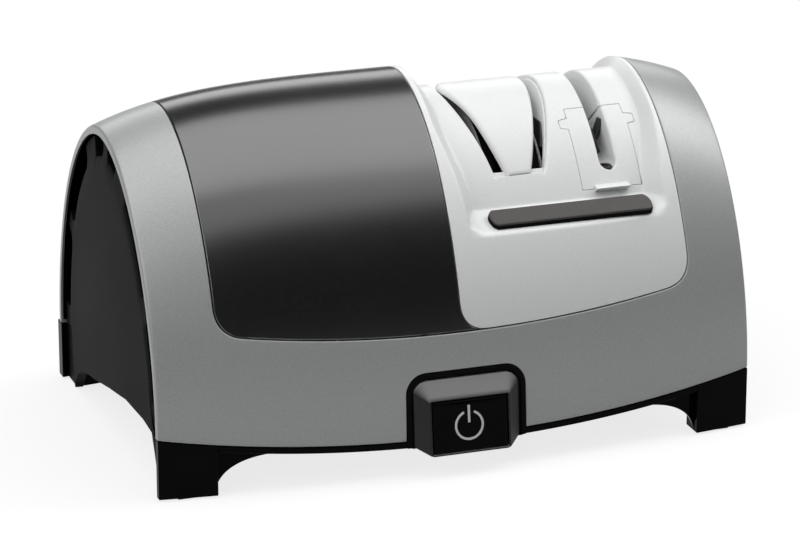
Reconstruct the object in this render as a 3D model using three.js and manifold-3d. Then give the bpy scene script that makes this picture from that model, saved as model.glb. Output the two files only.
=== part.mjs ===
// Electric knife sharpener with a two-slot coarse stage and a removable fine stage.
// Millimetres, +Z up, front of the housing towards -Y, origin under the middle at table height.

import * as THREE from 'three';
import { mergeVertices } from 'three/addons/utils/BufferGeometryUtils.js';
import Module from 'manifold-3d';

// Housing form: an arch section swept along X, bowed in plan, on its crest and on its lower edge.
const bodyLength = 230;
const endHalfDepth = 68.6;
const planBow = 7.4;
const endCrestHeight = 120.2;
const crestRise = 11.9;
const endEdgeHeight = 23.6;
const edgeDrop = 9.9;
const planBowShare = 2.45;
const crestShare = 4;
const archRoundShare = 1.89;
const halfLength = bodyLength / 2;
const frontDepth = endHalfDepth + planBow;
const coverCrest = endCrestHeight + crestRise;

// Walls and clearances.
const shellWall = 3;
const deckWall = 3.7;
const lipWall = 2;
const lipReach = 4;
const lipOverlap = 2;
const fitGap = 0.3;
const overrun = 6;

// Window in the grey shell for the two top covers, between the two end bands.
const endBand = 23;
const windowHalfLength = halfLength - endBand;
const windowLowHeight = 52.1;
const windowLowRise = 6.2;
const windowRiseRun = 84;
const windowCorner = 10;
const deckLength = 92;
const coverSplitX = windowHalfLength - deckLength;

// Sunk recess of the guide deck: a drum along X below the outer surface.
const drumSetback = 13;
const drumDrop = 8.1;
const drumSpringHeight = 14;
const floorLineDrop = 35.4;
const ledgeDrop = 4.4;
const outerFloorRise = 2.4;
const leftWallLowRun = 13.6;
const leftWallHighRun = 8.5;
const leftRidgeLowRun = 7.2;
const leftRidgeHighRun = 2.4;
const rightWallLowRun = 11.1;
const rightWallHighRun = 5.6;
const rightRidgeLowRun = 4.8;
const rightRidgeHighRun = 1.8;
const skirtUnderWindow = 6.1;
const drumHalfDepth = frontDepth - drumSetback;
const drumCrestHeight = coverCrest - drumDrop;
const floorLineHeight = drumCrestHeight - floorLineDrop;
const ledgeEdgeHeight = floorLineHeight - ledgeDrop;
const outerFloorHeight = floorLineHeight + outerFloorRise;
const recessLeftLow = coverSplitX + leftWallLowRun;
const recessLeftHigh = coverSplitX + leftWallHighRun;
const recessRightLow = windowHalfLength - rightWallLowRun;
const recessRightHigh = windowHalfLength - rightWallHighRun;
const ridgeLeftLow = coverSplitX + leftRidgeLowRun;
const ridgeLeftHigh = coverSplitX + leftRidgeHighRun;
const ridgeRightLow = windowHalfLength - rightRidgeLowRun;
const ridgeRightHigh = windowHalfLength - rightRidgeHighRun;
const deckSkirtLow = windowLowHeight - skirtUnderWindow;
const recessWallShares = [0, 0.3, 0.7, 1];

// Coarse stage: two blade slots that lean outwards, with a wedge between them.
const coarseFromWall = 20.2;
const coarseCentreX = recessLeftLow + coarseFromWall;
const coarseDepth = 25.3;
const coarseBottomHeight = drumCrestHeight - coarseDepth;
const slotTilt = THREE.MathUtils.degToRad(20);
const slotWidth = 5.4;
const wedgeWidth = 10.4;
const wedgeWidthRise = 1.3;
const wedgeReferenceHeight = coarseBottomHeight + wedgeWidthRise;
const slotWallThickness = 1.6;
const slotWallRise = 4.9;
const slotWallLow = coarseBottomHeight + slotWallRise;
const slotWallInset = 1;
const guideLeafThickness = 0.6;
const guideLeafHalfLength = 29;
const guideLeafSeat = 1.6;
const guideLeafHeight = 7.8;
const guideLeafLow = slotWallLow + guideLeafSeat;
const guideLeafHigh = guideLeafLow + guideLeafHeight;

// Fine stage: a cartridge that pulls out to the front along its own slanted axis.
const cartridgeFromWall = 11.4;
const cartridgeCentreX = recessRightLow - cartridgeFromWall;
const cartridgeLean = THREE.MathUtils.degToRad(39.5);
const cartridgeHalfWidth = 11.8;
const cartridgeEarReach = 3;
const cartridgeNeckStep = 0.6;
const cartridgeSeat = 3;
const cartridgeBodyRise = 19.6;
const cartridgeEarRise = 2.6;
const cartridgeNeckRise = 2.8;
const cartridgeEarHalfWidth = cartridgeHalfWidth + cartridgeEarReach;
const cartridgeNeckHalfWidth = cartridgeHalfWidth - cartridgeNeckStep;
const cartridgeBottomHeight = floorLineHeight + cartridgeSeat;
const cartridgeEarLow = cartridgeBottomHeight + cartridgeBodyRise;
const cartridgeEarHigh = cartridgeEarLow + cartridgeEarRise;
const cartridgeTopHeight = cartridgeEarHigh + cartridgeNeckRise;
const cartridgeDepth = 22;
const sleeveWall = 1.6;
const sleeveDepth = 16;
const fineSlotWidth = 6.8;
const fineSlotRise = 5.7;
const fineSlotBottom = cartridgeBottomHeight + fineSlotRise;
const tabWidth = 13.4;
const tabHeight = 2;
const tabReach = 3;
const tabRoot = 3;
const rodRadius = 1.6;
const rodLength = 16;
const rodCrossRise = 3.7;
const rodCrossHeight = fineSlotBottom + rodCrossRise;
const rodBelowCross = 4.6;
const rodSetback = 11.84;
const rodPitch = 4.2;
const rodTilt = THREE.MathUtils.degToRad(20);
const rodScrewHeadRadius = 2.7;
const rodScrewHeadHeight = 1.5;
const rodScrewShankRadius = 1.2;
const rodScrewLength = 9;
const rodScrewSetback = 4.24;

// Blade rest pad on the ledge.
const padLeftRun = 3.7;
const padLeftX = recessLeftLow + padLeftRun;
const padRightX = recessRightLow - fitGap;
const padBack = 3.8;
const padDepth = 9.2;
const padThickness = 2;
const padCorner = 1.6;

// Base housing, legs and feet.
const stripHeight = 2.4;
const floorThickness = 2.2;
const upstandHeight = 7;
const upstandWall = 2.4;
const upstandGap = 0.7;
const legLength = 21.5;
const legWall = 3;
const frontLegDepth = 10;
const rearLegDepth = 15.6;
const rearWallStep = 2.4;
const skirtRecess = 3.2;
const skirtWall = 2.4;
const skirtRun = 31.5;
const footStand = 0.8;
const footPadLength = 12;
const footPadDepth = 6.4;
const footPadInset = 1.8;
const footPocketDepth = 1.2;

// End caps with perimeter vents, as shares of a quarter turn, and the arch between the legs below,
// as shares of its span and of its height.
const capRecess = 2.4;
const capThickness = 2.6;
const ventWidth = 8;
const ventShares = [[0.073, 0.315], [0.37, 0.7], [0.84, 0.965]];
const archCrownHeight = 23.4;
const archShares = [
  [0, 0], [0.007, 0.28], [0.017, 0.78], [0.058, 0.92], [0.17, 1], [0.35, 1], [0.54, 0.85], [0.72, 0.67],
  [0.81, 0.6], [0.88, 0.52], [0.94, 0.37], [0.985, 0.14], [1, 0],
];

// Button and its bezel.
const edgeMiddleHeight = endEdgeHeight - edgeDrop;
const bezelHalfWidth = 23;
const bezelLowDrop = 1.7;
const bezelHeight = 26.6;
const bezelLowHeight = edgeMiddleHeight - bezelLowDrop;
const bezelTopHeight = bezelLowHeight + bezelHeight;
const bezelCorner = 8;
const bezelRing = 2.3;
const bezelRingTopSetback = 1.7;
const bezelRingLowReach = 0.4;
const bezelDepth = 10;
const bezelRingTopY = bezelRingTopSetback - frontDepth;
const bezelRingLowY = -frontDepth - bezelRingLowReach;
const bezelBackY = bezelDepth - frontDepth;
const buttonHalfWidth = 14.6;
const buttonLowDrop = 4;
const buttonHeight = 19.1;
const buttonLowHeight = edgeMiddleHeight - buttonLowDrop;
const buttonTopHeight = buttonLowHeight + buttonHeight;
const buttonTopReach = 2.5;
const buttonLowReach = 5.1;
const buttonTopY = -frontDepth - buttonTopReach;
const depthReach = frontDepth + buttonLowReach;
const buttonFrame = 0.5;
const buttonPlate = 3;
const buttonTravel = 2;
const stemWidth = 4.4;
const plungerWidth = 4.6;
const plungerLength = 9;
const plungerGuideDepth = 5;
const springRoom = 17.9;
const switchFrontY = buttonTopY + buttonPlate + springRoom;
const switchLength = 15;
const switchWidth = 14;
const switchHeight = 11;
const switchLugWidth = 3;
const springRadius = 4.2;
const springWire = 0.8;
const springCurls = 5;

// Spindle line, wheels and motor.
const shaftRadius = 3;
const wheelRadius = 40.8;
const wheelCover = 6.6;
const spindleHeight = drumCrestHeight - wheelCover - wheelRadius;
const wheelThickness = 5;
const wheelSideRoom = 0.6;
const wheelRimRoom = 1.2;
const wheelChamfer = 1.5;
const wheelFaceHalfSpan = 11.5;
const wheelLeftX = coarseCentreX - wheelFaceHalfSpan;
const wheelRightX = coarseCentreX + wheelFaceHalfSpan;
const hubRadius = 9;
const couplingLength = 18;
const couplingRadius = 8;
const bushRadius = 7;
const bushLength = 6;
const frameWall = 3;
const frameHalfDepth = 16;
const frameLeftRoom = 10.3;
const frameRightRoom = 5.7;
const frameLeftX = wheelLeftX - frameLeftRoom - frameWall;
const frameRightX = wheelRightX + frameRightRoom;
const frameFootHeight = 2.4;
const spindleEndReach = 2;
const spindleRightX = frameRightX + frameWall + spindleEndReach;
const couplingRoom = 8;
const couplingX = frameLeftX - couplingRoom - couplingLength / 2;
const statorRoom = 19;
const statorLength = 26;
const statorHalfWidth = 33;
const statorBelow = 46.6;
const statorAbove = 21.4;
const statorRightX = couplingX - couplingLength / 2 - statorRoom;
const statorLeftX = statorRightX - statorLength;
const statorLow = spindleHeight - statorBelow;
const statorTop = spindleHeight + statorAbove;
const statorCoreHeight = 16;
const windowHalfWidth = 18;
const windowHeight = 14;
const rotorRadius = 15;
const airGap = 0.5;
const bobbinFlange = 1.6;
const bobbinWall = 1.2;
const coilBuild = 5;
const bracketWall = 2;
const bracketHalfHeight = 14;
const bracketStandoff = 5;
const bracketWaist = 14;
const clampScrewRadius = 1.6;
const clampScrewHeadRadius = 3.2;
const clampScrewHeadHeight = 2.2;
const clampScrewInset = 7;
const clampScrewY = statorHalfWidth - clampScrewInset;
const clampScrewEnd = 3;
const postWidth = 6;
const fanRadius = 33;
const fanDiscThickness = 1.6;
const fanBladeHeight = 8;
const fanBladeThickness = 1.4;
const fanHubRadius = 7;
const fanRoom = 32;
const fanX = statorLeftX - fanRoom;
const shaftEndReach = 6;
const motorShaftLeftX = fanX - shaftEndReach;
const fanBlades = 9;

// Wiring and the gland in the rear wall.
const glandX = -60;
const glandHeight = 33;
const glandRadius = 6;
const glandFlangeRadius = 8;
const glandFlangeWall = 2;
const glandInside = 4.6;
const glandInnerY = endHalfDepth - glandInside;
const glandBoreDepth = 11;
const leadRadius = 1.5;
const supplyLeadHeight = 19.2;
const motorLeadX = 4.5;
const motorLeadHeight = 22.4;
const coilTerminalReach = 3;
const coilTerminalRise = 5;
const coilTerminalX = statorRightX + coilTerminalReach;
const coilTerminalHeight = statorLow + coilTerminalRise;
const supplyRoute = [
  [-60, 59, 33], [-59, 51, 27], [-44, 43, 20.5], [-28, 34, 18.5],
  [-10, 14, 18], [-2, -10, 18], [0, -30, 19],
];
const motorRoute = [
  [4.5, -37, 22.4], [0, -31, 25], [-10, -27, 28], [-20, -26, 31], [-29, -25.5, 34], [-33, -22, 35],
];

// Base screws, driven up through the floor into posts that hang from the shell's end bands.
const screwRadius = 1.6;
const screwHeadRadius = 3.1;
const screwHeadHeight = 2.2;
const screwLength = 12;
const screwFromEnd = 13;
const screwFromSide = 18.6;
const screwX = halfLength - screwFromEnd;
const screwY = endHalfDepth - screwFromSide;
const shellPostRadius = 5;

// Facets.
const wheelSides = 40;
const roundSides = 16;
const smallSides = 10;
const archSteps = 26;
const coverSteps = 7;
const weldDistance = 1e-4;

const wasm = await Module();
wasm.setup();

const knifeSharpener = new THREE.Group();

// Finishes: colour, roughness, metalness.
const satinGrey = [0x8d8e8e, 0.42, 0.5];
const metallicBlack = [0x1c1e1e, 0.35, 0.5];
const silverWhite = [0xe2e3e4, 0.38, 0.15];
const rubberGrey = [0x555556, 0.7, 0];
const glossBlack = [0x08080a, 0.15, 0];
const mattBlack = [0x161616, 0.75, 0];
const footRubber = [0x0c0c0c, 0.9, 0];
const steel = [0xb9bbbd, 0.32, 1];
const laminated = [0x4e5052, 0.55, 0.8];
const copper = [0xb06a34, 0.4, 0.9];
const ivory = [0xd9d4c2, 0.6, 0];
const abrasive = [0x6f7172, 0.85, 0.3];
const ceramicDark = [0x2a2b2d, 0.4, 0];
const bronze = [0xa2793f, 0.4, 0.9];

// A closed geometry as a solid for joining and cutting.
function toSolid(geometry) {
  const bare = geometry.clone();
  bare.deleteAttribute('normal');
  bare.deleteAttribute('uv');
  const welded = mergeVertices(bare, weldDistance);
  return new wasm.Manifold(new wasm.Mesh({
    numProp: 3,
    vertProperties: new Float32Array(welded.attributes.position.array),
    triVerts: new Uint32Array(welded.index.array),
  }));
}

// A finished solid as a named mesh of the assembly.
function addPiece(name, solid, [color, roughness, metalness]) {
  const { vertProperties, triVerts } = solid.getMesh();
  const geometry = new THREE.BufferGeometry();
  geometry.setAttribute('position', new THREE.BufferAttribute(new Float32Array(vertProperties), 3));
  geometry.setIndex(new THREE.BufferAttribute(new Uint32Array(triVerts), 1));
  geometry.computeVertexNormals();
  const mesh = new THREE.Mesh(geometry, new THREE.MeshStandardMaterial({ color, roughness, metalness }));
  mesh.name = name;
  knifeSharpener.add(mesh);
}

const join = (...solids) => solids.reduce((whole, next) => whole.add(next));
const cut = (solid, ...tools) => tools.reduce((rest, tool) => rest.subtract(tool), solid);
const mix = THREE.MathUtils.lerp;
const ascending = (a, b) => (a < b ? [a, b] : [b, a]);

// Evenly spaced values from a first to a last one.
function spaced(first, last, steps) {
  return Array.from({ length: steps + 1 }, (_, i) => mix(first, last, i / steps));
}

const unitX = new THREE.Vector3(1, 0, 0);
const unitY = new THREE.Vector3(0, 1, 0);
const unitZ = new THREE.Vector3(0, 0, 1);

// Basis for an outline whose two axes lie along u and v; it grows along u x v.
function outlineFrame(u, v, place) {
  return new THREE.Matrix4().makeBasis(u, v, new THREE.Vector3().crossVectors(u, v)).setPosition(place);
}

function extruded(shape, depth, frame, curveSegments = 5) {
  const geometry = new THREE.ExtrudeGeometry(shape, { depth, bevelEnabled: false, curveSegments });
  return toSolid(geometry.applyMatrix4(frame));
}

// An outline in Y and Z, extruded from x0 to x1.
const alongX = (shape, x0, x1) =>
  extruded(shape, x1 - x0, outlineFrame(unitY, unitZ, new THREE.Vector3(x0, 0, 0)));

// An outline in X and Z, extruded from y0 to y1.
const alongY = (shape, y0, y1) =>
  extruded(shape, y1 - y0, outlineFrame(unitX, unitZ, new THREE.Vector3(0, y1, 0)));

function outline(points) {
  return new THREE.Shape(points.map(([a, b]) => new THREE.Vector2(a, b)));
}

// A block between two opposite corners.
function block([x0, y0, z0], [x1, y1, z1]) {
  const geometry = new THREE.BoxGeometry(x1 - x0, y1 - y0, z1 - z0);
  return toSolid(geometry.translate((x0 + x1) / 2, (y0 + y1) / 2, (z0 + z1) / 2));
}

// A rod of the given radius along X, Y or Z, from one value to the other.
function rodX(radius, x0, x1, y, z, sides = roundSides) {
  const geometry = new THREE.CylinderGeometry(radius, radius, x1 - x0, sides);
  return toSolid(geometry.rotateZ(-Math.PI / 2).translate((x0 + x1) / 2, y, z));
}

function rodY(radius, y0, y1, x, z, sides = roundSides) {
  const geometry = new THREE.CylinderGeometry(radius, radius, y1 - y0, sides);
  return toSolid(geometry.translate(x, (y0 + y1) / 2, z));
}

function rodZ(radius, z0, z1, x, y, sides = roundSides) {
  const geometry = new THREE.CylinderGeometry(radius, radius, z1 - z0, sides);
  return toSolid(geometry.rotateX(Math.PI / 2).translate(x, y, (z0 + z1) / 2));
}

// A solid from shared points and faces, turned outwards where its volume comes out negative.
function facedSolid(points, faces) {
  const corner = (i) => points[faces[i]];
  let volume = 0;
  for (let i = 0; i < faces.length; i += 3) {
    volume += corner(i).dot(new THREE.Vector3().crossVectors(corner(i + 1), corner(i + 2)));
  }
  if (volume < 0) faces.reverse();
  const geometry = new THREE.BufferGeometry().setFromPoints(points);
  geometry.setIndex(faces);
  return toSolid(geometry);
}

// A closed solid between two facing grids of points, each an array of rows.
function gridSolid(outer, inner) {
  const rows = outer.length;
  const columns = outer[0].length;
  const at = (layer, r, c) => layer * rows * columns + r * columns + c;
  const faces = [];
  const quad = (a, b, c, d) => faces.push(a, b, c, a, c, d);
  for (let r = 0; r < rows - 1; r += 1) {
    for (let c = 0; c < columns - 1; c += 1) {
      quad(at(0, r, c), at(0, r, c + 1), at(0, r + 1, c + 1), at(0, r + 1, c));
      quad(at(1, r, c), at(1, r + 1, c), at(1, r + 1, c + 1), at(1, r, c + 1));
    }
  }
  for (let r = 0; r < rows - 1; r += 1) {
    quad(at(0, r, 0), at(0, r + 1, 0), at(1, r + 1, 0), at(1, r, 0));
    quad(at(0, r + 1, columns - 1), at(0, r, columns - 1), at(1, r, columns - 1), at(1, r + 1, columns - 1));
  }
  for (let c = 0; c < columns - 1; c += 1) {
    quad(at(0, 0, c + 1), at(0, 0, c), at(1, 0, c), at(1, 0, c + 1));
    quad(at(0, rows - 1, c), at(0, rows - 1, c + 1), at(1, rows - 1, c + 1), at(1, rows - 1, c));
  }
  return facedSolid([...outer.flat(), ...inner.flat()], faces);
}

// Rings of points, each with the same count, skinned into one solid. The end rings are flat, and
// flatten gives the two coordinates that their faces are divided in.
function loft(rings, flatten) {
  const count = rings[0].length;
  const faces = [];
  for (let r = 0; r < rings.length - 1; r += 1) {
    for (let c = 0; c < count; c += 1) {
      const d = (c + 1) % count;
      const [a, b] = [r * count, (r + 1) * count];
      faces.push(a + c, b + c, b + d, a + c, b + d, a + d);
    }
  }
  const last = (rings.length - 1) * count;
  const flat = rings[0].map(flatten);
  const turn = THREE.ShapeUtils.isClockWise(flat) ? -1 : 1;
  for (const face of THREE.ShapeUtils.triangulateShape(flat, [])) {
    const [p, q, r] = turn > 0 ? face : [...face].reverse();
    faces.push(p, q, r);
  }
  const lastFlat = rings[rings.length - 1].map(flatten);
  for (const face of THREE.ShapeUtils.triangulateShape(lastFlat, [])) {
    const [p, q, r] = turn > 0 ? [...face].reverse() : face;
    faces.push(last + p, last + q, last + r);
  }
  return facedSolid(rings.flat(), faces);
}

// A spun profile of (radius, x) points about the spindle line, listed from high to low x.
function spunX(profile, sides) {
  const points = profile.map(([r, x]) => new THREE.Vector2(r, x)).reverse();
  const geometry = new THREE.LatheGeometry([...points, points[0]], sides);
  return toSolid(geometry.rotateZ(-Math.PI / 2).translate(0, 0, spindleHeight));
}

// A round tube along a curve.
function tubeAlong(curve, radius, steps, sides) {
  const section = new THREE.Shape();
  section.absarc(0, 0, radius, 0, Math.PI * 2);
  const ring = new THREE.Shape(section.getPoints(sides).slice(0, sides));
  return toSolid(new THREE.ExtrudeGeometry(ring, { steps, extrudePath: curve }));
}

// Housing surface. The section is a superellipse arch standing on the lower edge.
const acrossShare = (x) => Math.min(Math.abs(x) / halfLength, 1);
const sideDepth = (x) => endHalfDepth + planBow * (1 - acrossShare(x) ** planBowShare);
const edgeHeight = (x) => endEdgeHeight - edgeDrop * (1 - acrossShare(x) ** 2);
const crestHeight = (x) => endCrestHeight + crestRise * (1 - acrossShare(x) ** crestShare);
const coverTop = coverCrest + overrun;
const roundPower = 2 / archRoundShare;

// A point of an arch at angle t, from 0 at its front foot to pi at its rear one.
function archPoint(x, t, halfDepth, low, top) {
  const c = Math.cos(t);
  const y = -halfDepth * Math.sign(c) * Math.abs(c) ** roundPower;
  return new THREE.Vector3(x, y, low + (top - low) * Math.abs(Math.sin(t)) ** roundPower);
}

const bodyPoint = (x, t, inset) =>
  archPoint(x, t, sideDepth(x) - inset, edgeHeight(x), crestHeight(x) - inset);

// The angle at which an arch reaches a height.
const angleAtHeight = (z, low, top) => Math.asin(Math.min((z - low) / (top - low), 1) ** (1 / roundPower));

const archAngles = spaced(0, Math.PI, archSteps);

// A shell of the housing surface between two insets.
function bodySkin(outerInset, innerInset, x0, x1, steps) {
  const stations = spaced(x0, x1, steps);
  const sheet = (inset) => stations.map((x) => archAngles.map((t) => bodyPoint(x, t, inset)));
  return gridSolid(sheet(outerInset), sheet(innerInset));
}

// The whole inside of the housing surface at an inset, down to table height.
function bodyCore(inset, x0, x1) {
  const rings = spaced(x0, x1, 2).map((x) => {
    const depth = sideDepth(x) - inset;
    const feet = [new THREE.Vector3(x, depth, 0), new THREE.Vector3(x, -depth, 0)];
    return [...archAngles.map((t) => bodyPoint(x, t, inset)), ...feet];
  });
  return loft(rings, ({ y, z }) => new THREE.Vector2(y, z));
}

// Window outline between two ends, grown by a margin, open upwards.
function windowOutline(left, right, grow) {
  const [l, r] = [left - grow, right + grow];
  const corner = windowCorner + grow;
  const low = (x) => windowLowHeight + windowLowRise * (x / windowRiseRun) ** 2 - grow;
  const shape = new THREE.Shape();
  shape.moveTo(l, coverTop);
  shape.lineTo(l, low(l) + corner);
  shape.quadraticCurveTo(l, low(l), l + corner, low(l + corner));
  for (const x of spaced(l + corner, r - corner, 8).slice(1)) shape.lineTo(x, low(x));
  shape.quadraticCurveTo(r, low(r), r, low(r) + corner);
  shape.lineTo(r, coverTop);
  return shape;
}

const through = endHalfDepth + planBow + overrun;
const windowPrism = (left, right, grow) => alongY(windowOutline(left, right, grow), -through, through);
const wholeWindow = (grow) => windowPrism(-windowHalfLength, windowHalfLength, grow);

// A rounded outline in X and Z with square lower corners, as points.
function bezelOutline(halfWidth, low, top, corner) {
  const turn = spaced(0, Math.PI / 2, 4);
  const [side, crown] = [halfWidth - corner, top - corner];
  const right = turn.map((a) => [side + corner * Math.cos(a), crown + corner * Math.sin(a)]);
  const left = turn.map((a) => [-side - corner * Math.sin(a), crown + corner * Math.cos(a)]);
  return [[-halfWidth, low], [halfWidth, low], ...right, ...left];
}

const bezelClear = bezelHalfWidth + fitGap;

function makeUpperShell() {
  const tunnel = bodySkin(0, shellWall, -halfLength, halfLength, 14);
  const [notchLow, notchTop] = [bezelLowHeight - overrun, bezelTopHeight + fitGap];
  const notchShape = outline(bezelOutline(bezelClear, notchLow, notchTop, bezelCorner));
  const notch = alongY(notchShape, -through, bezelBackY + overrun);
  const glandHole = rodY(glandRadius + fitGap, glandInnerY, through, glandX, glandHeight);
  const shell = cut(tunnel, wholeWindow(0), notch, glandHole);
  const posts = screwPlaces.map(({ x, y }) => {
    const room = shellPostRadius + fitGap;
    const post = rodZ(shellPostRadius, floorTop(Math.abs(x) + room) + fitGap, coverTop, x, y);
    return post.intersect(bodyCore(shellWall / 2, x - room, x + room));
  });
  return cut(join(shell, ...posts), ...screwPlaces.map((place) => baseScrew(place, fitGap)));
}

// A ring under the shell, along the edge of the window, that holds a cover from below.
function coverLip(x0, x1) {
  const inset = shellWall + fitGap;
  const ring = bodySkin(inset, inset + lipWall, x0, x1, coverSteps);
  return cut(ring.intersect(wholeWindow(lipReach)), wholeWindow(-lipOverlap));
}

const splitGap = fitGap / 2;
const insertLeft = coverSplitX + splitGap;
const insertRight = windowHalfLength - fitGap;
const cornerTongue = coverSplitX + windowCorner * 2;

function makeDarkPanel() {
  const left = -windowHalfLength - lipReach;
  const skin = bodySkin(0, deckWall, left, cornerTongue, coverSteps);
  const cover = cut(skin.intersect(wholeWindow(-fitGap)), windowPrism(insertLeft, insertRight, splitGap));
  return join(cover, coverLip(left, coverSplitX - windowCorner));
}

// Recess floor drum.
const drumAngle = (z) => angleAtHeight(z, drumSpringHeight, drumCrestHeight);
const drumPoint = (x, t, inset) =>
  archPoint(x, t, drumHalfDepth - inset, drumSpringHeight, drumCrestHeight - inset);

function drumSolid(inset) {
  const low = drumAngle(floorLineHeight) / 2;
  const points = spaced(low, Math.PI - low, 20).map((t) => drumPoint(0, t, inset));
  return alongX(outline(points.map((p) => [p.y, p.z])), coverSplitX, windowHalfLength);
}

// A row of the deck's outer face below the ledge, at a share of the way up.
function skirtRow(share) {
  return (x) => {
    const [low, top] = [edgeHeight(x), crestHeight(x)];
    const t = mix(angleAtHeight(deckSkirtLow, low, top), angleAtHeight(ledgeEdgeHeight, low, top), share);
    return bodyPoint(x, t, 0);
  };
}

// A row above the ledge: on the outer surface at weight 0, on the recess floor at weight 1.
function floorRow(share) {
  return (x, weight) => {
    const outerLow = angleAtHeight(outerFloorHeight, edgeHeight(x), crestHeight(x));
    const outer = bodyPoint(x, mix(outerLow, Math.PI / 2, share), 0);
    return outer.lerp(drumPoint(x, mix(drumAngle(floorLineHeight), Math.PI / 2, share), 0), weight);
  };
}

const smooth = (share) => share * share * (3 - 2 * share);

// Places along X with the weight of the recess there, at a share of the way up the floor.
function deckStations(share) {
  const climb = smooth(Math.min(share * 2, 1));
  const leftRidge = mix(ridgeLeftLow, ridgeLeftHigh, climb);
  const leftFloor = mix(recessLeftLow, recessLeftHigh, climb);
  const rightFloor = mix(recessRightLow, recessRightHigh, climb);
  const rightRidge = mix(ridgeRightLow, ridgeRightHigh, climb);
  return [
    [insertLeft, 0],
    ...recessWallShares.map((s) => [mix(leftRidge, leftFloor, s), smooth(s)]),
    ...spaced(leftFloor, rightFloor, 4).slice(1, -1).map((x) => [x, 1]),
    ...recessWallShares.map((s) => [mix(rightFloor, rightRidge, s), smooth(1 - s)]),
    [windowHalfLength, 0],
  ];
}

// The deck's sheet: front half of the section from skirt to crest, then its mirror image.
function deckSheet() {
  const skirt = spaced(0, 1, 3).map((s) => deckStations(0).map(([x]) => skirtRow(s)(x)));
  const floor = spaced(0, 1, 7).map((s) => deckStations(s).map(([x, weight]) => floorRow(s)(x, weight)));
  const front = [...skirt, ...floor];
  const rear = front.slice(0, -1).reverse().map((row) => row.map((p) => new THREE.Vector3(p.x, -p.y, p.z)));
  return [...front, ...rear];
}

// The same sheet, moved inwards square to its own section.
function innerSheet(sheet, wall) {
  const last = sheet.length - 1;
  return sheet.map((row, r) => row.map((point, c) => {
    const before = sheet[Math.max(r - 1, 0)][c];
    const after = sheet[Math.min(r + 1, last)][c];
    const run = new THREE.Vector3().subVectors(after, before).setX(0).normalize();
    return new THREE.Vector3(point.x, point.y + run.z * wall, point.z - run.y * wall);
  }));
}

// Half the distance between the wedge's sides, and between the slots' outer walls, at a height.
const slotLean = Math.tan(slotTilt);
const slotSpan = slotWidth / Math.cos(slotTilt);
const wedgeHalf = (z) => wedgeWidth / 2 + (z - wedgeReferenceHeight) * slotLean;
const mouthHalf = (z) => wedgeHalf(z) + slotSpan;

// A trapezoid about the coarse stage's middle, between two heights.
function coarseOutline(halfAt, low, top) {
  return outline([
    [coarseCentreX - halfAt(low), low],
    [coarseCentreX + halfAt(low), low],
    [coarseCentreX + halfAt(top), top],
    [coarseCentreX - halfAt(top), top],
  ]);
}

const slotTop = drumCrestHeight + overrun;
const coarsePrism = (halfAt, low, top) =>
  alongY(coarseOutline(halfAt, low, top), -drumHalfDepth, drumHalfDepth);

function wheelRoom() {
  const [x0, x1] = [wheelLeftX - wheelSideRoom, wheelRightX + wheelSideRoom];
  return rodX(wheelRadius + wheelRimRoom, x0, x1, 0, spindleHeight, wheelSides);
}

// The fine slot: straight sides and a round bottom.
function fineSlotPrism() {
  const half = fineSlotWidth / 2;
  const shape = new THREE.Shape();
  shape.moveTo(cartridgeCentreX + half, slotTop);
  shape.lineTo(cartridgeCentreX - half, slotTop);
  shape.lineTo(cartridgeCentreX - half, fineSlotBottom + half);
  shape.absarc(cartridgeCentreX, fineSlotBottom + half, half, Math.PI, Math.PI * 2, false);
  return alongY(shape, -drumHalfDepth, drumHalfDepth);
}

// Cartridge frame: X across, v up the deck, w outwards along the pull-out direction.
const pullOut = new THREE.Vector3(0, -Math.cos(cartridgeLean), Math.sin(cartridgeLean));
const upDeck = new THREE.Vector3(0, Math.sin(cartridgeLean), Math.cos(cartridgeLean));

// The place of a deck height along v and along w.
function deckPlace(z) {
  const point = drumPoint(0, drumAngle(z), 0);
  return { v: point.dot(upDeck), w: point.dot(pullOut) };
}

const cartridgeFace = deckPlace((cartridgeBottomHeight + cartridgeTopHeight) / 2).w;
const cartridgeBack = cartridgeFace - cartridgeDepth;
const alongPullOut = (shape, w0, w1) =>
  extruded(shape, w1 - w0, outlineFrame(unitX, upDeck, pullOut.clone().multiplyScalar(w0)));

function cartridgePrism(grow, w0, w1) {
  const low = deckPlace(cartridgeBottomHeight).v - grow;
  const earLow = deckPlace(cartridgeEarLow).v - grow;
  const earHigh = deckPlace(cartridgeEarHigh).v + grow;
  const top = deckPlace(cartridgeTopHeight).v + grow;
  const half = cartridgeHalfWidth + grow;
  const ear = cartridgeEarHalfWidth + grow;
  const neck = cartridgeNeckHalfWidth + grow;
  const side = [[half, low], [half, earLow], [ear, earLow], [ear, earHigh], [neck, earHigh], [neck, top]];
  const mirrored = side.map(([x, v]) => [-x, v]).reverse();
  return alongPullOut(outline([...side, ...mirrored].map(([x, v]) => [cartridgeCentreX + x, v])), w0, w1);
}

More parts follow.
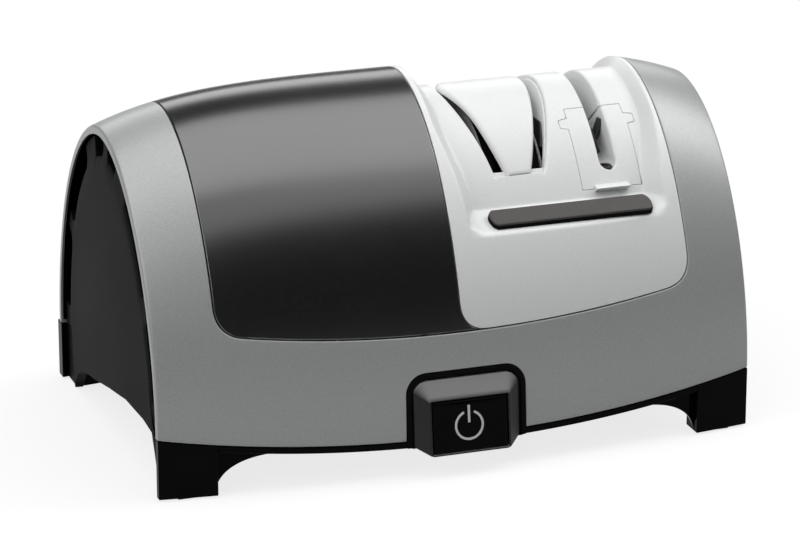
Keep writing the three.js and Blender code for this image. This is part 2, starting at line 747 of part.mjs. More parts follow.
function makeGuideDeck() {
  const sheet = deckSheet();
  const skin = gridSolid(sheet, innerSheet(sheet, deckWall));
  const cover = skin.intersect(windowPrism(insertLeft, insertRight, 0)).intersect(wholeWindow(-fitGap));
  const lip = coverLip(cornerTongue, windowHalfLength + lipReach);
  const inner = drumSolid(slotWallInset);
  const slotWalls = cut(
    coarsePrism((z) => mouthHalf(z) + slotWallThickness, slotWallLow, slotTop),
    coarsePrism(mouthHalf, slotWallLow - overrun, slotTop + overrun),
  ).intersect(inner);
  const fineHalf = fineSlotWidth / 2 + slotWallThickness;
  const fineWalls = block(
    [cartridgeCentreX - fineHalf, -drumHalfDepth, fineSlotBottom],
    [cartridgeCentreX + fineHalf, drumHalfDepth, slotTop],
  ).intersect(inner);
  const sleeveBack = cartridgeFace - sleeveDepth;
  const sleeve = cartridgePrism(fitGap + sleeveWall, sleeveBack, cartridgeFace).intersect(inner);
  return cut(
    join(cover, lip, slotWalls, fineWalls, sleeve),
    coarsePrism(mouthHalf, coarseBottomHeight, slotTop),
    fineSlotPrism(),
    cartridgePrism(fitGap, cartridgeBack - overrun, cartridgeFace + overrun),
    wheelRoom(),
  );
}

function makeCoarseWedge() {
  const prism = coarsePrism(wedgeHalf, coarseBottomHeight + fitGap, slotTop);
  return cut(prism.intersect(drumSolid(0)), wheelRoom());
}

// A spring leaf close to one outer slot wall; side is -1 on the left and 1 on the right.
function makeGuideLeaf(side) {
  const outer = (z) => mouthHalf(z) - fitGap;
  const inner = (z) => outer(z) - guideLeafThickness;
  const at = (half, z) => [coarseCentreX + side * half(z), z];
  const [low, high] = [guideLeafLow, guideLeafHigh];
  const shape = outline([at(inner, low), at(outer, low), at(outer, high), at(inner, high)]);
  return alongY(shape, -guideLeafHalfLength, guideLeafHalfLength);
}

// Two ceramic rods stand one behind the other and cross in a V.
const slotFrontY = drumPoint(0, drumAngle(fineSlotBottom), 0).y;
const rodFrontY = slotFrontY + rodSetback;
const rodScrewY = slotFrontY + rodScrewSetback;
const rodPlaces = [
  { name: 'front_ceramic_rod', y: rodFrontY, side: -1 },
  { name: 'rear_ceramic_rod', y: rodFrontY + rodPitch, side: 1 },
];

function ceramicRod({ y, side }, room) {
  const radius = rodRadius + room;
  const geometry = new THREE.CylinderGeometry(radius, radius, rodLength + room * 2, smallSides);
  geometry.rotateX(Math.PI / 2).translate(0, 0, rodLength / 2 - rodBelowCross);
  return toSolid(geometry.rotateY(side * rodTilt).translate(cartridgeCentreX, y, rodCrossHeight));
}

function rodScrew(room, above) {
  const top = fineSlotBottom + fitGap;
  const headLow = top - rodScrewHeadHeight;
  const end = headLow - rodScrewLength - room;
  return join(
    rodZ(rodScrewHeadRadius + room, headLow - room, top + above, cartridgeCentreX, rodScrewY),
    rodZ(rodScrewShankRadius + room, end, headLow, cartridgeCentreX, rodScrewY, smallSides),
  );
}

function makeFineCartridge() {
  const bodyBlock = cartridgePrism(0, cartridgeBack, cartridgeFace + overrun).intersect(drumSolid(0));
  const { v, w } = deckPlace(cartridgeBottomHeight);
  const [left, right] = [cartridgeCentreX - tabWidth / 2, cartridgeCentreX + tabWidth / 2];
  const tabShape = outline([[left, v], [right, v], [right, v + tabHeight], [left, v + tabHeight]]);
  const tab = alongPullOut(tabShape, w - tabRoot, w + tabReach);
  const rodHoles = rodPlaces.map((place) => ceramicRod(place, fitGap));
  return cut(join(bodyBlock, tab), fineSlotPrism(), ...rodHoles, rodScrew(fitGap, overrun));
}

// Blade rest pad: a flat bar on the ledge with cut corners.
function makeRestPad() {
  const back = drumPoint(0, drumAngle(floorLineHeight), 0);
  const middleX = (padLeftX + padRightX) / 2;
  const edgeAngle = angleAtHeight(ledgeEdgeHeight, edgeHeight(middleX), crestHeight(middleX));
  const front = bodyPoint(middleX, edgeAngle, 0);
  const forward = new THREE.Vector3().subVectors(front, back).setX(0).normalize();
  const up = new THREE.Vector3().crossVectors(forward, unitX);
  const [s0, s1] = [padBack, padBack + padDepth];
  const c = padCorner;
  const shape = outline([
    [padLeftX + c, s0], [padRightX - c, s0], [padRightX, s0 + c * 2], [padRightX, s1 - c],
    [padRightX - c, s1], [padLeftX + c, s1], [padLeftX, s1 - c], [padLeftX, s0 + c * 2],
  ]);
  const place = back.clone().addScaledVector(up, fitGap + padThickness);
  return extruded(shape, padThickness, outlineFrame(unitX, forward, place));
}

// Base housing.
const legInnerX = halfLength - legLength;
const capInnerX = halfLength - capRecess - capThickness;
const trayEndX = capInnerX - fitGap;
const trayTop = (x) => edgeHeight(x) - fitGap;
const trayLow = (x) => trayTop(x) - stripHeight;
const floorTop = (x) => trayLow(x) + floorThickness;
const floorMiddle = (x) => trayLow(x) + floorThickness / 2;

// The depth of the base on one side, less an inset. The rear wall stands a step further out.
const baseDepth = (x, side, inset) => side * (sideDepth(x) + (side > 0 ? rearWallStep : 0) - inset);

// A wall that follows the plan of the base on one side; side is -1 at the front.
function planWall(side, stations, outerInset, innerInset, lowAt, topAt) {
  const face = (inset) => stations.map((x) => [
    new THREE.Vector3(x, baseDepth(x, side, inset), lowAt(x)),
    new THREE.Vector3(x, baseDepth(x, side, inset), topAt(x)),
  ]);
  return gridSolid(face(outerInset), face(innerInset));
}

// The tray: strip, floor and the upstand that centres the shell. Its strip stops at the legs.
function makeTray() {
  const lap = legWall / 2;
  const inLegs = spaced(legInnerX + lap, trayEndX, 1);
  const stations = [...inLegs.map((x) => -x).reverse(), ...spaced(-legInnerX, legInnerX, 10), ...inLegs];
  const insideUpstand = shellWall + upstandGap;
  const rings = stations.map((x) => {
    const inLeg = Math.abs(x) > legInnerX;
    const outer = inLeg ? lap : 0;
    const ledge = inLeg ? floorMiddle(x) : trayTop(x);
    const at = (side, inset, z) => new THREE.Vector3(x, baseDepth(x, side, inset), z);
    const wall = (side) => {
      const step = side > 0 ? rearWallStep : 0;
      const [face, back] = [insideUpstand + step, insideUpstand + step + upstandWall];
      const top = trayTop(x) + upstandHeight;
      return [
        at(side, outer, trayLow(x)), at(side, outer, ledge), at(side, face, ledge), at(side, face, top),
        at(side, back, top), at(side, back, floorTop(x)),
      ];
    };
    return [...wall(-1), ...wall(1).reverse()];
  });
  return loft(rings, ({ y, z }) => new THREE.Vector2(y, z));
}

// A leg: its outer wall reaches the end face, and a block behind it stops at the end cap.
function makeLeg(side, end) {
  const depth = side > 0 ? rearLegDepth + rearWallStep : frontLegDepth;
  const step = side > 0 ? rearWallStep : 0;
  const wall = spaced(...ascending(end * legInnerX, end * halfLength), 3);
  const bulk = spaced(...ascending(end * legInnerX, end * trayEndX), 2);
  const low = () => footStand;
  return join(
    planWall(side, wall, 0, legWall + step, low, trayTop),
    planWall(side, bulk, legWall / 2, depth, low, trayTop),
  );
}

// A skirt beside a leg: its lower edge is a quarter ellipse that rises to the strip.
function makeSkirt(side, end) {
  const turns = spaced(0, Math.PI / 2, 6);
  const reach = (a) => legInnerX - skirtRun * (1 - Math.cos(a));
  const edges = turns.map((a) => ({ x: end * reach(a), rise: Math.sin(a) }));
  edges.unshift({ x: end * (legInnerX + legWall / 2), rise: 0 });
  if (end > 0) edges.reverse();
  const low = new Map(edges.map(({ x, rise }) => [x, mix(footStand, trayLow(x), rise)]));
  const stations = edges.map(({ x }) => x);
  return planWall(side, stations, skirtRecess, skirtRecess + skirtWall, (x) => low.get(x), floorMiddle);
}

// Stands for the stator, rooted in the floor.
const postMiddle = (statorHalfWidth + windowHalfWidth) / 2;

function motorPost(side) {
  const [y0, y1] = [side * postMiddle - postWidth / 2, side * postMiddle + postWidth / 2];
  const face = (y) => [statorLeftX, statorRightX].map((x) => [
    new THREE.Vector3(x, y, floorMiddle(x)), new THREE.Vector3(x, y, statorLow - fitGap),
  ]);
  return gridSolid(face(y0), face(y1));
}

const corners = [-1, 1].flatMap((end) => [-1, 1].map((side) => {
  const name = `${side < 0 ? 'front' : 'rear'}_${end < 0 ? 'left' : 'right'}`;
  return { name, end, side };
}));
const footPlaces = corners.map(({ name, end, side }) => {
  const x = end * (trayEndX - footPadInset - footPadLength / 2);
  return { name, x, y: baseDepth(x, side, frontLegDepth - footPadInset - footPadDepth / 2) };
});
const screwPlaces = corners.map(({ name, end, side }) => ({ name, x: end * screwX, y: side * screwY }));

function footPad({ x, y }, room) {
  const [a, b] = [footPadLength / 2 + room, footPadDepth / 2 + room];
  return block([x - a, y - b, 0], [x + a, y + b, footStand + footPocketDepth + room]);
}

// A base screw: its head is under the floor, and its shank goes up into the shell's post.
function baseScrew({ x, y }, room) {
  const headTop = trayLow(Math.abs(x) - screwHeadRadius) - fitGap;
  return join(
    rodZ(screwHeadRadius + room, headTop - screwHeadHeight - room, headTop + room, x, y),
    rodZ(screwRadius + room, headTop - room, headTop + screwLength + room, x, y, smallSides),
  );
}

function makeBaseHousing() {
  const sides = [-1, 1];
  const solid = join(
    makeTray(),
    ...corners.map(({ side, end }) => makeLeg(side, end)),
    ...corners.map(({ side, end }) => makeSkirt(side, end)),
    ...sides.map(motorPost),
  );
  const notch = block([-bezelClear, -through, 0], [bezelClear, bezelBackY + fitGap, bezelTopHeight]);
  const pockets = footPlaces.map((place) => footPad(place, fitGap));
  return cut(solid, notch, ...pockets, ...screwPlaces.map((place) => baseScrew(place, fitGap)));
}

// End cap outline in Y and Z: the housing's arch above, the arch between the legs below.
function makeEndCap(end) {
  const inset = shellWall + fitGap;
  const front = -endHalfDepth + legWall + fitGap;
  const archEnd = endHalfDepth - rearLegDepth;
  const under = archShares.map(([s, h]) => [mix(front, archEnd, s), mix(footStand, archCrownHeight, h)]);
  const over = archAngles.map((t) => {
    const p = archPoint(0, t, endHalfDepth - inset, endEdgeHeight, endCrestHeight - inset);
    return [p.y, p.z];
  });
  const shape = outline([...under, [-front, footStand], ...over.reverse()]);
  const [x0, x1] = ascending(end * (halfLength - capRecess), end * capInnerX);
  const vents = ventShares.flatMap(([a, b]) => [[a, b], [2 - b, 2 - a]]).map(([a, b]) => {
    const arc = (depth, from, to) => spaced(from, to, 5).map((s) => {
      const p = archPoint(0, s * (Math.PI / 2), endHalfDepth - depth, endEdgeHeight, endCrestHeight - depth);
      return [p.y, p.z];
    });
    const open = outline([...arc(shellWall / 2, a, b), ...arc(inset + ventWidth, b, a)]);
    return alongX(open, x0 - overrun, x1 + overrun);
  });
  return cut(alongX(shape, x0, x1), ...vents);
}

// Button, and its bezel: a flat ring on the shell, then a frustum up to the button's frame.
const noseMargin = buttonFrame + fitGap;
const noseLow = buttonLowHeight - noseMargin;
const noseTop = buttonTopHeight + noseMargin;
const buttonFaceY = (z) => mix(-depthReach, buttonTopY, (z - noseLow) / (noseTop - noseLow));
const bezelSpan = bezelTopHeight - bezelLowHeight;
const bezelFrontY = (z) => mix(bezelRingLowY, bezelRingTopY, (z - bezelLowHeight) / bezelSpan);
const buttonMiddle = (buttonTopHeight + buttonLowHeight) / 2;
const plateBackY = buttonTopY + buttonPlate;
const plungerFrontY = switchFrontY - plungerLength + plungerGuideDepth;

function makeButtonBezel() {
  const place = (points, yAt) => points.map(([x, z]) => new THREE.Vector3(x, yAt(z), z));
  const outer = bezelOutline(bezelHalfWidth, bezelLowHeight, bezelTopHeight, bezelCorner);
  const ringTop = bezelTopHeight - bezelRing;
  const ring = bezelOutline(bezelHalfWidth - bezelRing, bezelLowHeight, ringTop, bezelCorner - bezelRing);
  const nose = bezelOutline(buttonHalfWidth + noseMargin, noseLow, noseTop, noseMargin);
  const back = place(outer, () => bezelBackY);
  const rings = [back, place(outer, bezelFrontY), place(ring, bezelFrontY), place(nose, buttonFaceY)];
  const solid = loft(rings, ({ x, z }) => new THREE.Vector2(x, z));
  const half = buttonHalfWidth + fitGap;
  const pocket = block(
    [-half, -depthReach - overrun, buttonLowHeight - fitGap],
    [half, bezelBackY - shellWall, buttonTopHeight + fitGap],
  );
  const room = springRadius + springWire + fitGap;
  const passage = block(
    [-room, -depthReach, buttonMiddle - room],
    [room, bezelBackY + overrun, buttonMiddle + room],
  );
  return cut(solid, pocket, passage);
}

function makePowerButton() {
  const [low, top] = [buttonLowHeight, buttonTopHeight];
  const face = [[buttonFaceY(top), top], [buttonFaceY(low), low]];
  const side = outline([...face, [plateBackY, low], [plateBackY, top]]);
  const stem = stemWidth / 2;
  return join(
    alongX(side, -buttonHalfWidth, buttonHalfWidth),
    block(
      [-stem, plateBackY - buttonPlate / 2, buttonMiddle - stem],
      [stem, plungerFrontY - fitGap, buttonMiddle + stem],
    ),
  );
}

function makeSwitchPlunger() {
  const half = plungerWidth / 2;
  const end = plungerFrontY + plungerLength;
  return block([-half, plungerFrontY, buttonMiddle - half], [half, end, buttonMiddle + half]);
}

function makeSwitchBody() {
  const well = plungerWidth / 2 + fitGap;
  const wellEnd = switchFrontY + plungerGuideDepth + buttonTravel + fitGap * 2;
  const [half, lug] = [switchWidth / 2, switchWidth / 2 + switchLugWidth];
  const [low, top] = [buttonMiddle - switchHeight / 2, buttonMiddle + switchHeight / 2];
  const end = switchFrontY + switchLength;
  return cut(
    join(
      block([-half, switchFrontY, low], [half, end, top]),
      block([-lug, switchFrontY + switchLugWidth, floorTop(lug) + fitGap], [lug, end, low + well]),
    ),
    block([-well, switchFrontY - overrun, buttonMiddle - well], [well, wellEnd, buttonMiddle + well]),
  );
}

// The return spring: one unbroken tube between the switch and the button plate.
class SpringCurve extends THREE.Curve {
  constructor(radius, start, end, curls) {
    super();
    Object.assign(this, { radius, start, end, curls });
  }

  getPoint(share, target = new THREE.Vector3()) {
    const turn = share * this.curls * Math.PI * 2;
    const y = mix(this.start, this.end, share);
    return target.set(this.radius * Math.cos(turn), y, buttonMiddle + this.radius * Math.sin(turn));
  }
}

const springSteps = springCurls * 8;
const springEnd = springWire / 2 + fitGap;
const springStart = plateBackY + springEnd;
const springCurve = new SpringCurve(springRadius, springStart, switchFrontY - springEnd, springCurls);

// The least gap between two stretches of a wound tube that lie at least half a curl apart.
function selfGap(curve, steps, perCurl, thickness) {
  const points = curve.getPoints(steps);
  const apart = points.flatMap((p, i) => points.slice(i + perCurl / 2).map((q) => p.distanceTo(q)));
  return Math.min(...apart) - thickness;
}

const springGap = selfGap(springCurve, springSteps, springSteps / springCurls, springWire);
console.log(`Least gap of the button spring to itself: ${springGap.toFixed(2)} mm`);

// Spindle group.
const boreRadius = shaftRadius + fitGap;

// A wheel from its outer face to its inner one; side is -1 where the outer face looks left.
function makeWheel(side) {
  const outer = side < 0 ? wheelLeftX : wheelRightX;
  const inner = outer - side * wheelThickness;
  const rim = wheelRadius - wheelChamfer;
  const profile = [
    [boreRadius, outer], [rim, outer], [wheelRadius, outer - side * wheelChamfer],
    [wheelRadius, inner], [boreRadius, inner],
  ];
  return spunX(side < 0 ? profile.reverse() : profile, wheelSides);
}

// A collar around the spindle line.
const collar = (radius, x0, x1, sides = roundSides) =>
  spunX([[boreRadius, x1], [radius, x1], [radius, x0], [boreRadius, x0]], sides);

const bush = (x, wall) => collar(bushRadius, x + (wall - bushLength) / 2, x + (wall + bushLength) / 2);
const bushRoom = (x, wall) => rodX(bushRadius + fitGap, x - overrun, x + wall + overrun, 0, spindleHeight);

function makeGrinderFrame() {
  const low = floorTop(frameRightX + frameWall) + fitGap;
  const top = spindleHeight + bushRadius + frameWall;
  const neck = bushRadius + frameWall;
  const shape = outline([[-frameHalfDepth, low], [frameHalfDepth, low], [neck, top], [-neck, top]]);
  const upright = (x) => cut(alongX(shape, x, x + frameWall), bushRoom(x, frameWall));
  const uprights = [upright(frameLeftX), upright(frameRightX)];
  const footEnd = frameRightX + frameWall;
  const foot = block([frameLeftX, -frameHalfDepth, low], [footEnd, frameHalfDepth, low + frameFootHeight]);
  return join(foot, ...uprights);
}

// Motor: the bobbin sits round the stator's lower core, which runs along Y.
const coreTop = statorLow + statorCoreHeight;
const screwBore = (x0, x1, side) =>
  rodX(clampScrewRadius + fitGap, x0 - overrun, x1 + overrun, side * clampScrewY, spindleHeight, smallSides);

function makeStator() {
  const opening = block(
    [statorLeftX - overrun, -windowHalfWidth, coreTop],
    [statorRightX + overrun, windowHalfWidth, coreTop + windowHeight],
  );
  const [x0, x1] = [statorLeftX - overrun, statorRightX + overrun];
  return cut(
    block([statorLeftX, -statorHalfWidth, statorLow], [statorRightX, statorHalfWidth, statorTop]),
    opening,
    rodX(rotorRadius + airGap, x0, x1, 0, spindleHeight, roundSides * 2),
    screwBore(statorLeftX, statorRightX, -1),
    screwBore(statorLeftX, statorRightX, 1),
  );
}

// A box-shaped sleeve round the stator's lower core, between two distances from the core.
function coreSleeve(innerRoom, outerRoom, y0, y1) {
  const around = (room, a, b) =>
    block([statorLeftX - room, a, statorLow - room], [statorRightX + room, b, coreTop + room]);
  return cut(around(outerRoom, y0, y1), around(innerRoom, y0 - overrun, y1 + overrun));
}

const bobbinHalf = windowHalfWidth - fitGap;
const coilInner = fitGap * 2 + bobbinWall;
const coilOuter = coilInner + coilBuild;

function makeBobbin() {
  const flangeInner = bobbinHalf - bobbinFlange;
  return join(
    coreSleeve(fitGap, fitGap + bobbinWall, -bobbinHalf, bobbinHalf),
    coreSleeve(fitGap, coilOuter + fitGap, -bobbinHalf, -flangeInner),
    coreSleeve(fitGap, coilOuter + fitGap, flangeInner, bobbinHalf),
  );
}

function makeCoil() {
  const half = bobbinHalf - bobbinFlange - fitGap;
  return coreSleeve(coilInner, coilOuter, -half, half);
}

const leftBracketX = statorLeftX - bracketStandoff - bracketWall;
const rightBracketX = statorRightX + bracketStandoff;

// A bearing bracket with two spacers that reach to the stator; side is -1 on the left.
function makeBracket(side) {
  const x = side < 0 ? leftBracketX : rightBracketX;
  const stator = side < 0 ? statorLeftX - fitGap : statorRightX + fitGap;
  const [low, top] = [spindleHeight - bracketHalfHeight, spindleHeight + bracketHalfHeight];
  const [lowEar, topEar] = [spindleHeight - bracketHalfHeight / 2, spindleHeight + bracketHalfHeight / 2];
  const shape = outline([
    [-statorHalfWidth, lowEar], [-bracketWaist, low], [bracketWaist, low], [statorHalfWidth, lowEar],
    [statorHalfWidth, topEar], [bracketWaist, top], [-bracketWaist, top], [-statorHalfWidth, topEar],
  ]);
  const [s0, s1] = ascending(stator, x + bracketWall / 2);
  const spacer = (end) => rodX(clampScrewHeadRadius, s0, s1, end * clampScrewY, spindleHeight);
  return cut(
    join(alongX(shape, x, x + bracketWall), spacer(-1), spacer(1)),
    bushRoom(x, bracketWall),
    screwBore(x, s1, -1),
    screwBore(x, s1, 1),
  );
}

function makeClampScrew(side) {
  const y = side * clampScrewY;
  const head = leftBracketX - fitGap;
  const middle = head - clampScrewHeadHeight / 2;
  const end = rightBracketX + bracketWall + clampScrewEnd;
  return join(
    rodX(clampScrewHeadRadius, head - clampScrewHeadHeight, head, y, spindleHeight),
    rodX(clampScrewRadius, middle, end, y, spindleHeight, smallSides),
  );
}

function makeFan() {
  const disc = spunX([
    [boreRadius, fanX + fanBladeHeight], [fanHubRadius, fanX + fanBladeHeight],
    [fanHubRadius, fanX + fanDiscThickness], [fanRadius, fanX + fanDiscThickness],
    [fanRadius, fanX], [boreRadius, fanX],
  ], roundSides * 2);
  const blades = Array.from({ length: fanBlades }, (_, i) => {
    const reach = fanRadius - fanHubRadius;
    const geometry = new THREE.BoxGeometry(fanBladeHeight - fitGap, fanBladeThickness, reach);
    geometry.translate(fanX + fanBladeHeight / 2, 0, (fanRadius + fanHubRadius) / 2 - fitGap);
    return toSolid(geometry.rotateX((i / fanBlades) * Math.PI * 2).translate(0, 0, spindleHeight));
  });
  return join(disc, ...blades);
}

// Gland and leads.
function makeGland() {
  const flangeFace = sideDepth(glandX) - shellWall * 2;
  return cut(
    join(
      rodY(glandRadius, glandInnerY, depthReach, glandX, glandHeight),
      rodY(glandFlangeRadius, flangeFace - glandFlangeWall, flangeFace, glandX, glandHeight),
    ),
    rodY(leadRadius * 2, depthReach - glandBoreDepth, depthReach + overrun, glandX, glandHeight, smallSides),
  );
}

function makeLead(start, bends, end, steps) {
  const points = [start, ...bends, end].map((p) => new THREE.Vector3(...p));
  return tubeAlong(new THREE.CatmullRomCurve3(points, false, 'centripetal'), leadRadius, steps, 8);
}

const terminalY = switchFrontY + switchLength + fitGap;

addPiece('upper_shell', makeUpperShell(), satinGrey);
addPiece('dark_panel', makeDarkPanel(), metallicBlack);
addPiece('guide_deck', makeGuideDeck(), silverWhite);
addPiece('coarse_wedge', makeCoarseWedge(), silverWhite);
addPiece('left_guide_leaf', makeGuideLeaf(-1), steel);
addPiece('right_guide_leaf', makeGuideLeaf(1), steel);
addPiece('blade_rest_pad', makeRestPad(), rubberGrey);
addPiece('fine_cartridge', makeFineCartridge(), silverWhite);
for (const place of rodPlaces) addPiece(place.name, ceramicRod(place, 0), ceramicDark);
addPiece('rod_screw', rodScrew(0, 0), steel);
addPiece('base_housing', makeBaseHousing(), glossBlack);
for (const place of footPlaces) addPiece(`${place.name}_foot`, footPad(place, 0), footRubber);
for (const place of screwPlaces) addPiece(`${place.name}_screw`, baseScrew(place, 0), steel);
addPiece('left_end_cap', makeEndCap(-1), mattBlack);
addPiece('right_end_cap', makeEndCap(1), mattBlack);
addPiece('button_bezel', makeButtonBezel(), glossBlack);
addPiece('power_button', makePowerButton(), glossBlack);
addPiece('switch_plunger', makeSwitchPlunger(), ivory);
addPiece('switch_body', makeSwitchBody(), mattBlack);
addPiece('button_spring', tubeAlong(springCurve, springWire / 2, springSteps, 5), steel);
addPiece('left_grinding_wheel', makeWheel(-1), abrasive);
addPiece('right_grinding_wheel', makeWheel(1), abrasive);
const [hubLeft, hubRight] = [wheelLeftX + wheelThickness + fitGap, wheelRightX - wheelThickness - fitGap];
addPiece('wheel_hub', collar(hubRadius, hubLeft, hubRight), steel);
addPiece('spindle', rodX(shaftRadius, couplingX + fitGap, spindleRightX, 0, spindleHeight), steel);
const [couplingLeft, couplingRight] = [couplingX - couplingLength / 2, couplingX + couplingLength / 2];
addPiece('shaft_coupling', collar(couplingRadius, couplingLeft, couplingRight), mattBlack);
addPiece('motor_shaft', rodX(shaftRadius, motorShaftLeftX, couplingX - fitGap, 0, spindleHeight), steel);
addPiece('grinder_frame', makeGrinderFrame(), steel);
addPiece('left_spindle_bush', bush(frameLeftX, frameWall), bronze);
addPiece('right_spindle_bush', bush(frameRightX, frameWall), bronze);
addPiece('stator_stack', makeStator(), laminated);
addPiece('coil_bobbin', makeBobbin(), ivory);
addPiece('coil_winding', makeCoil(), copper);
addPiece('rotor', collar(rotorRadius, statorLeftX, statorRightX, roundSides * 2), laminated);
addPiece('left_bearing_bracket', makeBracket(-1), steel);
addPiece('right_bearing_bracket', makeBracket(1), steel);
addPiece('left_motor_bush', bush(leftBracketX, bracketWall), bronze);
addPiece('right_motor_bush', bush(rightBracketX, bracketWall), bronze);
addPiece('front_clamp_screw', makeClampScrew(-1), steel);
addPiece('rear_clamp_screw', makeClampScrew(1), steel);
addPiece('cooling_fan', makeFan(), mattBlack);
addPiece('cord_gland', makeGland(), footRubber);
const glandEnd = [glandX, glandInnerY - fitGap, glandHeight];
const coilEnd = [coilTerminalX, -bobbinHalf - fitGap, coilTerminalHeight];
const supplyEnd = [0, terminalY, supplyLeadHeight];
const motorStart = [motorLeadX, terminalY, motorLeadHeight];
addPiece('supply_lead', makeLead(glandEnd, supplyRoute, supplyEnd, 20), footRubber);
addPiece('motor_lead', makeLead(motorStart, motorRoute, coilEnd, 11), footRubber);

export default knifeSharpener;
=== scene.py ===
"""Electric knife sharpener: surfaces, finishes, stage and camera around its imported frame.

Shapes are worked out in millimetres and put into the meshes in metres. X runs along the housing,
the front is towards -Y, and Z is up from the table.
"""

import math

import bmesh
import bpy
import numpy as np
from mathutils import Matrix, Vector


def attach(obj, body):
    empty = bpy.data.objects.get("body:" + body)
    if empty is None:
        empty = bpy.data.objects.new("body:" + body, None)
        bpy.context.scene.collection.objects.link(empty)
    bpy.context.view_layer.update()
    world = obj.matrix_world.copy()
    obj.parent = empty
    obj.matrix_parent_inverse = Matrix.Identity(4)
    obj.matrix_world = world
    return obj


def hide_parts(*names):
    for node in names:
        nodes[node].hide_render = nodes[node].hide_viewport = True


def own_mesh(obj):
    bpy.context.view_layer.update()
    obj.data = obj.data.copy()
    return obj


bl_info = {
    "name": "Electric knife sharpener",
    "version": (1, 0, 0),
    "blender": (4, 5, 0),
    "location": "View3D > Sidebar > Sharpener",
    "description": "Builds the covers, base, button and stages of a knife sharpener and their finishes",
    "category": "Object",
}

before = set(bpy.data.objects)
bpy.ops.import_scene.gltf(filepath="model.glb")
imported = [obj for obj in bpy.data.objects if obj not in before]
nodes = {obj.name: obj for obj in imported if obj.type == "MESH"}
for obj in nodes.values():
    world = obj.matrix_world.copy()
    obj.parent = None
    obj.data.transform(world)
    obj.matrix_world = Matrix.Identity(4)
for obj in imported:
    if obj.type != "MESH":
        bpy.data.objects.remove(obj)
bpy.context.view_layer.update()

METRE = 0.001
GAP = 0.3
JOINT = 0.12

# The housing's surface, its walls and the window for the covers.
HALF_LENGTH = 115.0
END_HALF_DEPTH = 68.6
PLAN_BOW, PLAN_POWER = 7.4, 2.45
EDGE_END, EDGE_BOW = 23.6, 9.9
CREST_END, CREST_BOW = 120.2, 11.9
ROUND = 2 / 1.89
WALL = 3.0
COVER_WALL = 3.7
WINDOW_HALF = 92.0
WINDOW_CORNER = 10.0
WINDOW_LOW, WINDOW_RISE, WINDOW_RUN = 52.1, 6.2, 84.0
SIDE_ROWS = 41
FOOT_MARKS = (-82, -30, -22, -14, 14, 22, 30, 82)
FOOT_STEPS = (24, 6, 8, 12, 8, 6, 24)

# The deck's recess: its drum, its ledge, and its ends at the ledge and at the crest.
DRUM_HALF_DEPTH = 63.0
DRUM_SPRING = 14.0
DRUM_CREST = 124.0
FLOOR_LINE = 88.6
FLOOR_START = FLOOR_LINE + 0.8
FLOOR_STOP = 122.2
LEDGE_EDGE = 84.2
OUTER_FLOOR = 92.2
INSERT_LEFT, INSERT_RIGHT = 0.15, 91.7
LEFT_RIDGE, LEFT_FLOOR = (7.2, 2.4), (13.6, 8.5)
RIGHT_FLOOR, RIGHT_RIDGE = (80.9, 86.4), (87.2, 90.2)
PAD_LEFT, PAD_RIGHT = 17.3, 80.6

# The coarse stage.
COARSE_X = 33.8
COARSE_BOTTOM = 98.7
COARSE_FILLET = 1.3
WEDGE_BOTTOM = 99.0
WEDGE_FOOT, WEDGE_LEFT, WEDGE_RIGHT = 99.6, 29.0, 39.4
WEDGE_LEAN, RIGHT_LEAN = 0.37, 0.40
MOUTH_LEFT, MOUTH_RIGHT = 24.6, 43.8
WEDGE_FILLET = 1.9
SLOT_LEAN = math.tan(math.radians(20))
SLOT_SPAN = 5.746
SLOT_WALL_LOW = 103.6
SLOT_WALL = 1.6
SHELF_LOW, SHELF_HIGH = 98.0, 100.9
LEAF_START, LEAF_LOW, LEAF_TOP = 108.4, 105.4, 112.8
WALL_FOOT = 109.9
ROOM_RADIUS = 42.0
SPINDLE_Z = 76.6

# The fine stage.
CARTRIDGE_X = 69.5
CARTRIDGE_LEAN = math.radians(39.5)
CARTRIDGE_LOW = 91.6
EAR_LOW = 111.2
EAR_HIGH = 113.8
CARTRIDGE_TOP = 116.6
CARTRIDGE_DEPTH, SLEEVE_DEPTH = 22, 16
CARTRIDGE_HALF = 11.8
EAR_HALF = 14.8
NECK_HALF = 11.2
FINE_SLOT_X = 69.8
FINE_SLOT_HALF = 3.2
FINE_SLOT_BOTTOM = 97.3
FINE_SLOT_ROWS = [FINE_SLOT_BOTTOM, FINE_SLOT_BOTTOM + 0.6, FINE_SLOT_BOTTOM + 1.8, FINE_SLOT_BOTTOM + 3.4]
FINE_FILLET = 1.0

# The base, the ends and the button.
STRIP = 2.4
LEG_INNER = 93.5
TRAY_END = 109.7
FOOT_STAND = 0.8
REAR_STEP = 2.4
CAP_FACE = 113.0
CAP_BACK = 110.0
VENT_ROUND = 3.0
# The arch between the legs of an end cap: the share along it, and the share of its height.
ARCH_RISE = ((0, 0), (0.007, 0.28), (0.017, 0.78), (0.058, 0.92), (0.17, 1), (0.35, 1), (0.54, 0.85),
             (0.72, 0.67), (0.81, 0.6), (0.88, 0.52), (0.94, 0.37), (0.985, 0.14), (1, 0))
BEZEL_HALF = 23.0
BEZEL_LOW = 12.0
BEZEL_TOP = 38.6
BEZEL_CORNER = 8.0
BEZEL_BACK = -66.0
RING_LOW_Y, RING_TOP_Y = -76.4, -74.3
NOSE_HALF, NOSE_LOW, NOSE_TOP = 15.4, 8.9, 29.6
NOSE_LOW_Y, NOSE_TOP_Y = -81.1, -78.5
BUTTON_Z = 19.25
SPRING_RADIUS = 4.2
SPRING_WIRE = 0.4
SPRING_FRONT, SPRING_BACK = -74.78, -58.3


# Arithmetic on whole arrays.

def mix(a, b, share):
    """The value at a share of the way from a to b."""
    return a + (b - a) * share


def smooth(share):
    """A step that starts and ends level: three squares less two cubes of the share."""
    share = np.clip(share, 0, 1)
    return share * share * (3 - 2 * share)


def xyz(x, y, z):
    """Three coordinates, spread to one shape, as the last axis of an array."""
    return np.stack(np.broadcast_arrays(x, y, z), -1).astype(float)


